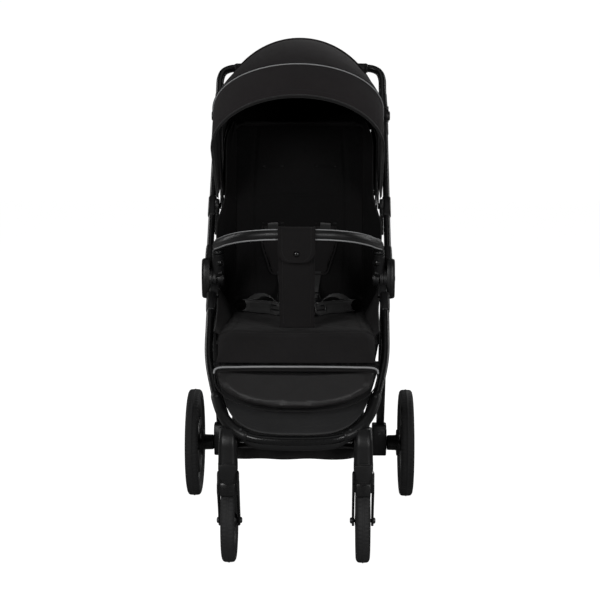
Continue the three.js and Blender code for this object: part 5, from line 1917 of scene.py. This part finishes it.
for sx, sd in ((1, "r"), (-1, "l")):
    sp = box_on(lambda a, b, side: shoulder_pt(a, b, side, sx), (18, 34), "strap", "shoulder_pad_" + sd)

    def hold_sh(c):
        s, n = back_sn(np.array([c]))
        return np.array(on_back(c[0] * 1000, float(s[0]), min(max(float(n[0]), 22.9), 31.0)))
    puff(sp, voxel=3.4, cap=3.5, hold=hold_sh, smooth_it=2)

    def sh_seam(co, nr):
        s, n = back_sn(co)
        b = (190 - s) / 116
        cx = 60 - 17 * np.clip((b - 0.25) / 0.75, 0, 1)
        d = np.abs(np.abs(co[:, 0] * 1000) - cx)
        e = np.minimum(26.5 - d, np.minimum((s - 74), (190 - s)) + 0.0)
        return (1.6 * groove(e - 6.0, 3.2) * (n > 25) + 0.2 * wob(co[:, 0] * 2, s / 500, 1.0)) / 1000
    channels(sp, sh_seam)
    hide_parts("shoulder_strap_" + sd)
    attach(sp, "backrest")
    ring_pts = []
    for b in np.linspace(0.03, 0.985, 40):
        ring_pts.append(np.array(shoulder_pt(1.0, b, 1, sx)))
    for b in np.linspace(0.985, 0.03, 40):
        ring_pts.append(np.array(shoulder_pt(0.0, b, 1, sx)))
    ring_pts = [q + np.array([0.0, -0.0016, 0.0004]) for q in ring_pts]
    o = sweep("shoulder_pad_binding_" + sd, catmull(ring_pts, 160), "strap", circle(0.0019, 8), up=(0, -1, 0.2))
    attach(o, "backrest")
    # webbing over the pad's top into its slot, and from the pad's foot towards the buckle
    w1 = strap_between("shoulder_web_top_" + sd, [on_back(sx * 60, 172, 30.4), on_back(sx * 60.5, 182, 30.2), on_back(sx * 61, 190, 26.5), on_back(sx * 61.5, 195, 19.5), on_back(sx * 62, 196.5, 14.0)], 0.024, 0.0014, (0, -1, 0.2))
    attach(w1, "backrest")
    w2 = strap_between("shoulder_web_low_" + sd, [on_back(sx * 43, 84, 27.0), on_back(sx * 41, 66, 27.5), on_back(sx * 38, 48, 34), D(sx * 34, 36, 518), D(sx * 29, 10, 508), D(sx * 22, -8, 500)], 0.0165, 0.0014, (0, -1, 0.2))
    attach(w2, "backrest")
    # waist belt: stands on its edge on the cushion, with a second layer folded over
    w3 = strap_between("waist_web_" + sd, [D(sx * 121, 68, 504), D(sx * 110, 52, 505.5), D(sx * 92, 40, 505), D(sx * 72, 33, 505), D(sx * 54, 22, 504), D(sx * 40, 6, 502.5)], 0.0014, 0.0265, (0, 0, 1))
    w4 = strap_between("waist_fold_" + sd, [D(sx * 114, 74, 508), D(sx * 104, 62, 520), D(sx * 88, 50, 529), D(sx * 70, 40, 529), D(sx * 56, 29, 521), D(sx * 46, 18, 511)], 0.021, 0.0014, (0.25 * sx, 0.8, 0.55))
    put(w3, "front_frame", "waist_strap_" + sd, slot="web")
    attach(w4, "front_frame")
    # ladder adjuster: a frame with two bars
    parts = []
    if True:
        fr = sweep("fr", catmull([(0.0135, 0, 0.012), (0.0115, 0, 0.0155), (-0.0115, 0, 0.0155), (-0.0135, 0, 0.012), (-0.0135, 0, -0.012), (-0.0115, 0, -0.0155), (0.0115, 0, -0.0155), (0.0135, 0, -0.012)], 60, closed=True), "satin", rrect(0.0036, 0.0028, 0.0009, 2), closed=True, up=(0, -1, 0))
        parts.append(fr)
        for zz in (-0.006, 0.004):
            parts.append(sweep("br", [(-0.013, 0, zz), (0.013, 0, zz)], "satin", rrect(0.0028, 0.0024, 0.0009, 2), up=(0, -1, 0)))
    ad = join("waist_adjuster_" + sd, parts)
    M = Matrix.Translation(D(sx * 50, 17, 505.5)) @ Matrix.Rotation(math.radians(38 * sx), 4, "Z") @ Matrix.Rotation(math.radians(-8), 4, "X")
    ad.data.transform(M)
    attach(sharp(ad), "front_frame")
    ad2 = ad.copy()
    ad2.data = ad.data.copy()
    ad2.name = "shoulder_adjuster_" + sd
    scene.collection.objects.link(ad2)
    ad2.parent = None
    ad2.data.transform(Matrix.Translation(Vector(D(sx * 38, 34, 519.5)) - Vector(D(sx * 50, 17, 505.5))))
    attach(ad2, "backrest")

bk = prism("buckle_body", rrect(54, 40, 15, 7), 489.4, 499.5, "Z", "satin", 3.2, 4)
for v in bk.data.vertices:
    v.co.y += -0.022
bb = prism("buckle_button", rrect(22, 20, 9, 7), 498.6, 500.6, "Z", "snap", 1.0, 3)
for v in bb.data.vertices:
    v.co.y += -0.024
ts = []
for sx in (-1, 1):
    t = prism("tongue", [(sx * 20, -16), (sx * 38, -14), (sx * 39, -4), (sx * 38, 8), (sx * 20, 6)] if sx > 0 else [(sx * 20, 6), (sx * 38, 8), (sx * 39, -4), (sx * 38, -14), (sx * 20, -16)], 491, 497, "Z", "plastic", 1.6, 3)
    ts.append(t)
buckle = join("harness_buckle_body", [bk, bb] + ts)
put(sharp(buckle), "front_frame", "harness_buckle", slot="gloss")

# ---- shopping basket: one sagging cloth shell with a bound rim and hanging tapes
def basket_ring(t, hx, y0, y1, rc):
    """A rounded rectangle in plan, t 0..1 round it."""
    hy, cy = (y1 - y0) / 2, (y1 + y0) / 2
    L = [2 * (hx - rc), math.pi / 2 * rc, 2 * (hy - rc), math.pi / 2 * rc, 2 * (hx - rc), math.pi / 2 * rc, 2 * (hy - rc), math.pi / 2 * rc]
    s = (t % 1.0) * sum(L)
    seg = 0
    while s > L[seg] and seg < 7:
        s -= L[seg]
        seg += 1
    f = s / L[seg]
    if seg == 0:
        return -hx + rc + f * L[0], cy - hy
    if seg == 1:
        a = -math.pi / 2 + f * math.pi / 2
        return hx - rc + rc * math.cos(a), cy - hy + rc + rc * math.sin(a)
    if seg == 2:
        return hx, cy - hy + rc + f * L[2]
    if seg == 3:
        a = f * math.pi / 2
        return hx - rc + rc * math.cos(a), cy + hy - rc + rc * math.sin(a)
    if seg == 4:
        return hx - rc - f * L[4], cy + hy
    if seg == 5:
        a = math.pi / 2 + f * math.pi / 2
        return -hx + rc + rc * math.cos(a), cy + hy - rc + rc * math.sin(a)
    if seg == 6:
        return -hx, cy + hy - rc - f * L[6]
    a = math.pi + f * math.pi / 2
    return -hx + rc + rc * math.cos(a), cy - hy + rc + rc * math.sin(a)


def basket_pt(t, v):
    """v 0 at the rim, 0.45 where the wall turns, 1 at the middle of the floor."""
    x0, y0 = basket_ring(t, 149, -261, 249, 34)
    x1, y1 = basket_ring(t, 137, -232, 226, 40)
    along = (y0 + 261) / 510
    rim = 268 - 6 * along - 15 * math.sin(math.pi * min(1, max(0, along))) * (abs(x0) > 100) - 3.5 * (1 - abs(x0) / 149) * (along < 0.1)
    low = 209 - 12 * along + 5 * math.cos(6 * math.pi * along)
    if v < 0.5:
        k = v / 0.5
        bulge = math.sin(math.pi * k)
        kk = k ** 1.5
        x, y = x0 + (x1 - x0) * kk, y0 + (y1 - y0) * kk
        z = rim + (low - rim) * k ** 0.9
        n = np.array([x - 0, (y + 6) * 0.6])
        n = n / np.linalg.norm(n)
        wr = 1.6 * math.sin(t * 2 * math.pi * 13 + 3 * k) * bulge
        return x + n[0] * (wr - 1.5 * bulge), y + n[1] * (wr - 1.5 * bulge), z
    k = (v - 0.5) / 0.5
    x, y = x1 * (1 - k), y1 + (-3 - y1) * k
    z = low - 9.5 * math.sin(math.pi / 2 * min(1, k * 1.4)) + 1.2 * math.sin(x * 0.06) * math.sin(y * 0.05) * (1 - k)
    return x, y, max(z, 187.5)


bs_ = grid("basket_cloth", lambda a, b: D(*basket_pt(a, b)), 260, 56, "basket", closed_u=True)
bm = bmesh.new()
bm.from_mesh(bs_.data)
bmesh.ops.remove_doubles(bm, verts=bm.verts, dist=2e-5)
bmesh.ops.recalc_face_normals(bm, faces=bm.faces)
bm.to_mesh(bs_.data)
bm.free()
solidify(bs_, 0.0022, 0.0)
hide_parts("basket")
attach(bs_, "front_frame")
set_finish(bs_, "fabric")
rimp = np.array([D(*basket_pt(i / 260, 0.0)) for i in range(260)])
rim_b = sweep("basket_rim", rimp, "binding", rrect(0.0042, 0.0125, 0.0018, 3), closed=True, up=(0, 0, 1))
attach(rim_b, "front_frame")
st_ = stitches("basket_stitch", np.array([D(x * 1.0185, -6 + (y + 6) * 1.011, z) for x, y, z in [basket_pt(i / 260, 0.012) for i in range(261)]]) + np.array([0, 0, -0.003]), "thread", 0.0046, 0.003, 0.00036)
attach(st_, "front_frame")
tapes = []
for sx, sd in ((1, "r"), (-1, "l")):
    # front tapes up to the lower loop, rear tapes up to the seat frame
    tapes.append(strap_between("basket_tape_front_" + sd, [D(sx * 140, -246, 258), D(sx * 146, -240, 285), D(sx * 158, -236, 325), D(sx * 166, -232, 358)], 0.019, 0.0015, (0, -1, 0), "web", 40))
    tapes.append(strap_between("basket_tape_rear_" + sd, [D(sx * 148.5, 205, 250), D(sx * 160, 190, 300), D(sx * 172, 150, 370), D(sx * 181, 110, 432)], 0.019, 0.0015, (0, -1, 0), "web", 40))
for o in tapes:
    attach(o, "front_frame")
for o in [bs_, rim_b, st_] + tapes:
    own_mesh(o)

# ---- clamps that hold the hood's pivots to the upper tubes, with riveted fronts
tdir = np.array([0.6917, 0.7222])
fdir = np.array([-0.7222, 0.6917])
cl = []
axis_at = lambda q_: np.array([10.0, 573.0]) + tdir * q_
o0 = [axis_at(128) - fdir * 5, axis_at(124) + fdir * 2, axis_at(132) + fdir * 9, axis_at(196) + fdir * 10, axis_at(208) + fdir * 13, axis_at(218) + fdir * 6, axis_at(216) - fdir * 6]
cl.append(prism("clamp", [tuple(p) for p in o0], 187.2, 195.0, "X", "plastic", 1.6, 3))
for q_ in (140, 158, 176, 192):
    b0 = axis_at(q_) + fdir * 9.4
    cl.append(turned("riv", [(0, 1.5), (1.6, 1.3), (2.3, 0.4), (2.3, -0.8)], (191.1, b0[0], b0[1]), (0, fdir[0], fdir[1]), "steel" if q_ in (140, 176) else "snap", 20))
both(join("hood_clamp", cl), "hood_clamp", "upper_frame")

# ------------------------------------------------------------------ finish
NODE_MATS = {}
for name, o in frame["nodes"].items():
    if not o.data.materials:
        o.data.materials.append(MAT["plastic"])
    key = NODE_MATS.get(name)
    if key is None:
        slot_name = next((s["material_slot"] for s in frame["record"]["subparts"] if s["node"] == name), "plastic")
        key = {"paint": "paint", "plastic": "plastic", "gloss": "satin", "tyre": "tyre", "fabric": "canopy", "pad": "seat", "leather": "leather", "leg": "leg", "web": "web", "steel": "steel", "panel": "panel"}[slot_name]
    for s in o.material_slots:
        s.material = MAT[key]
bpy.context.view_layer.update()
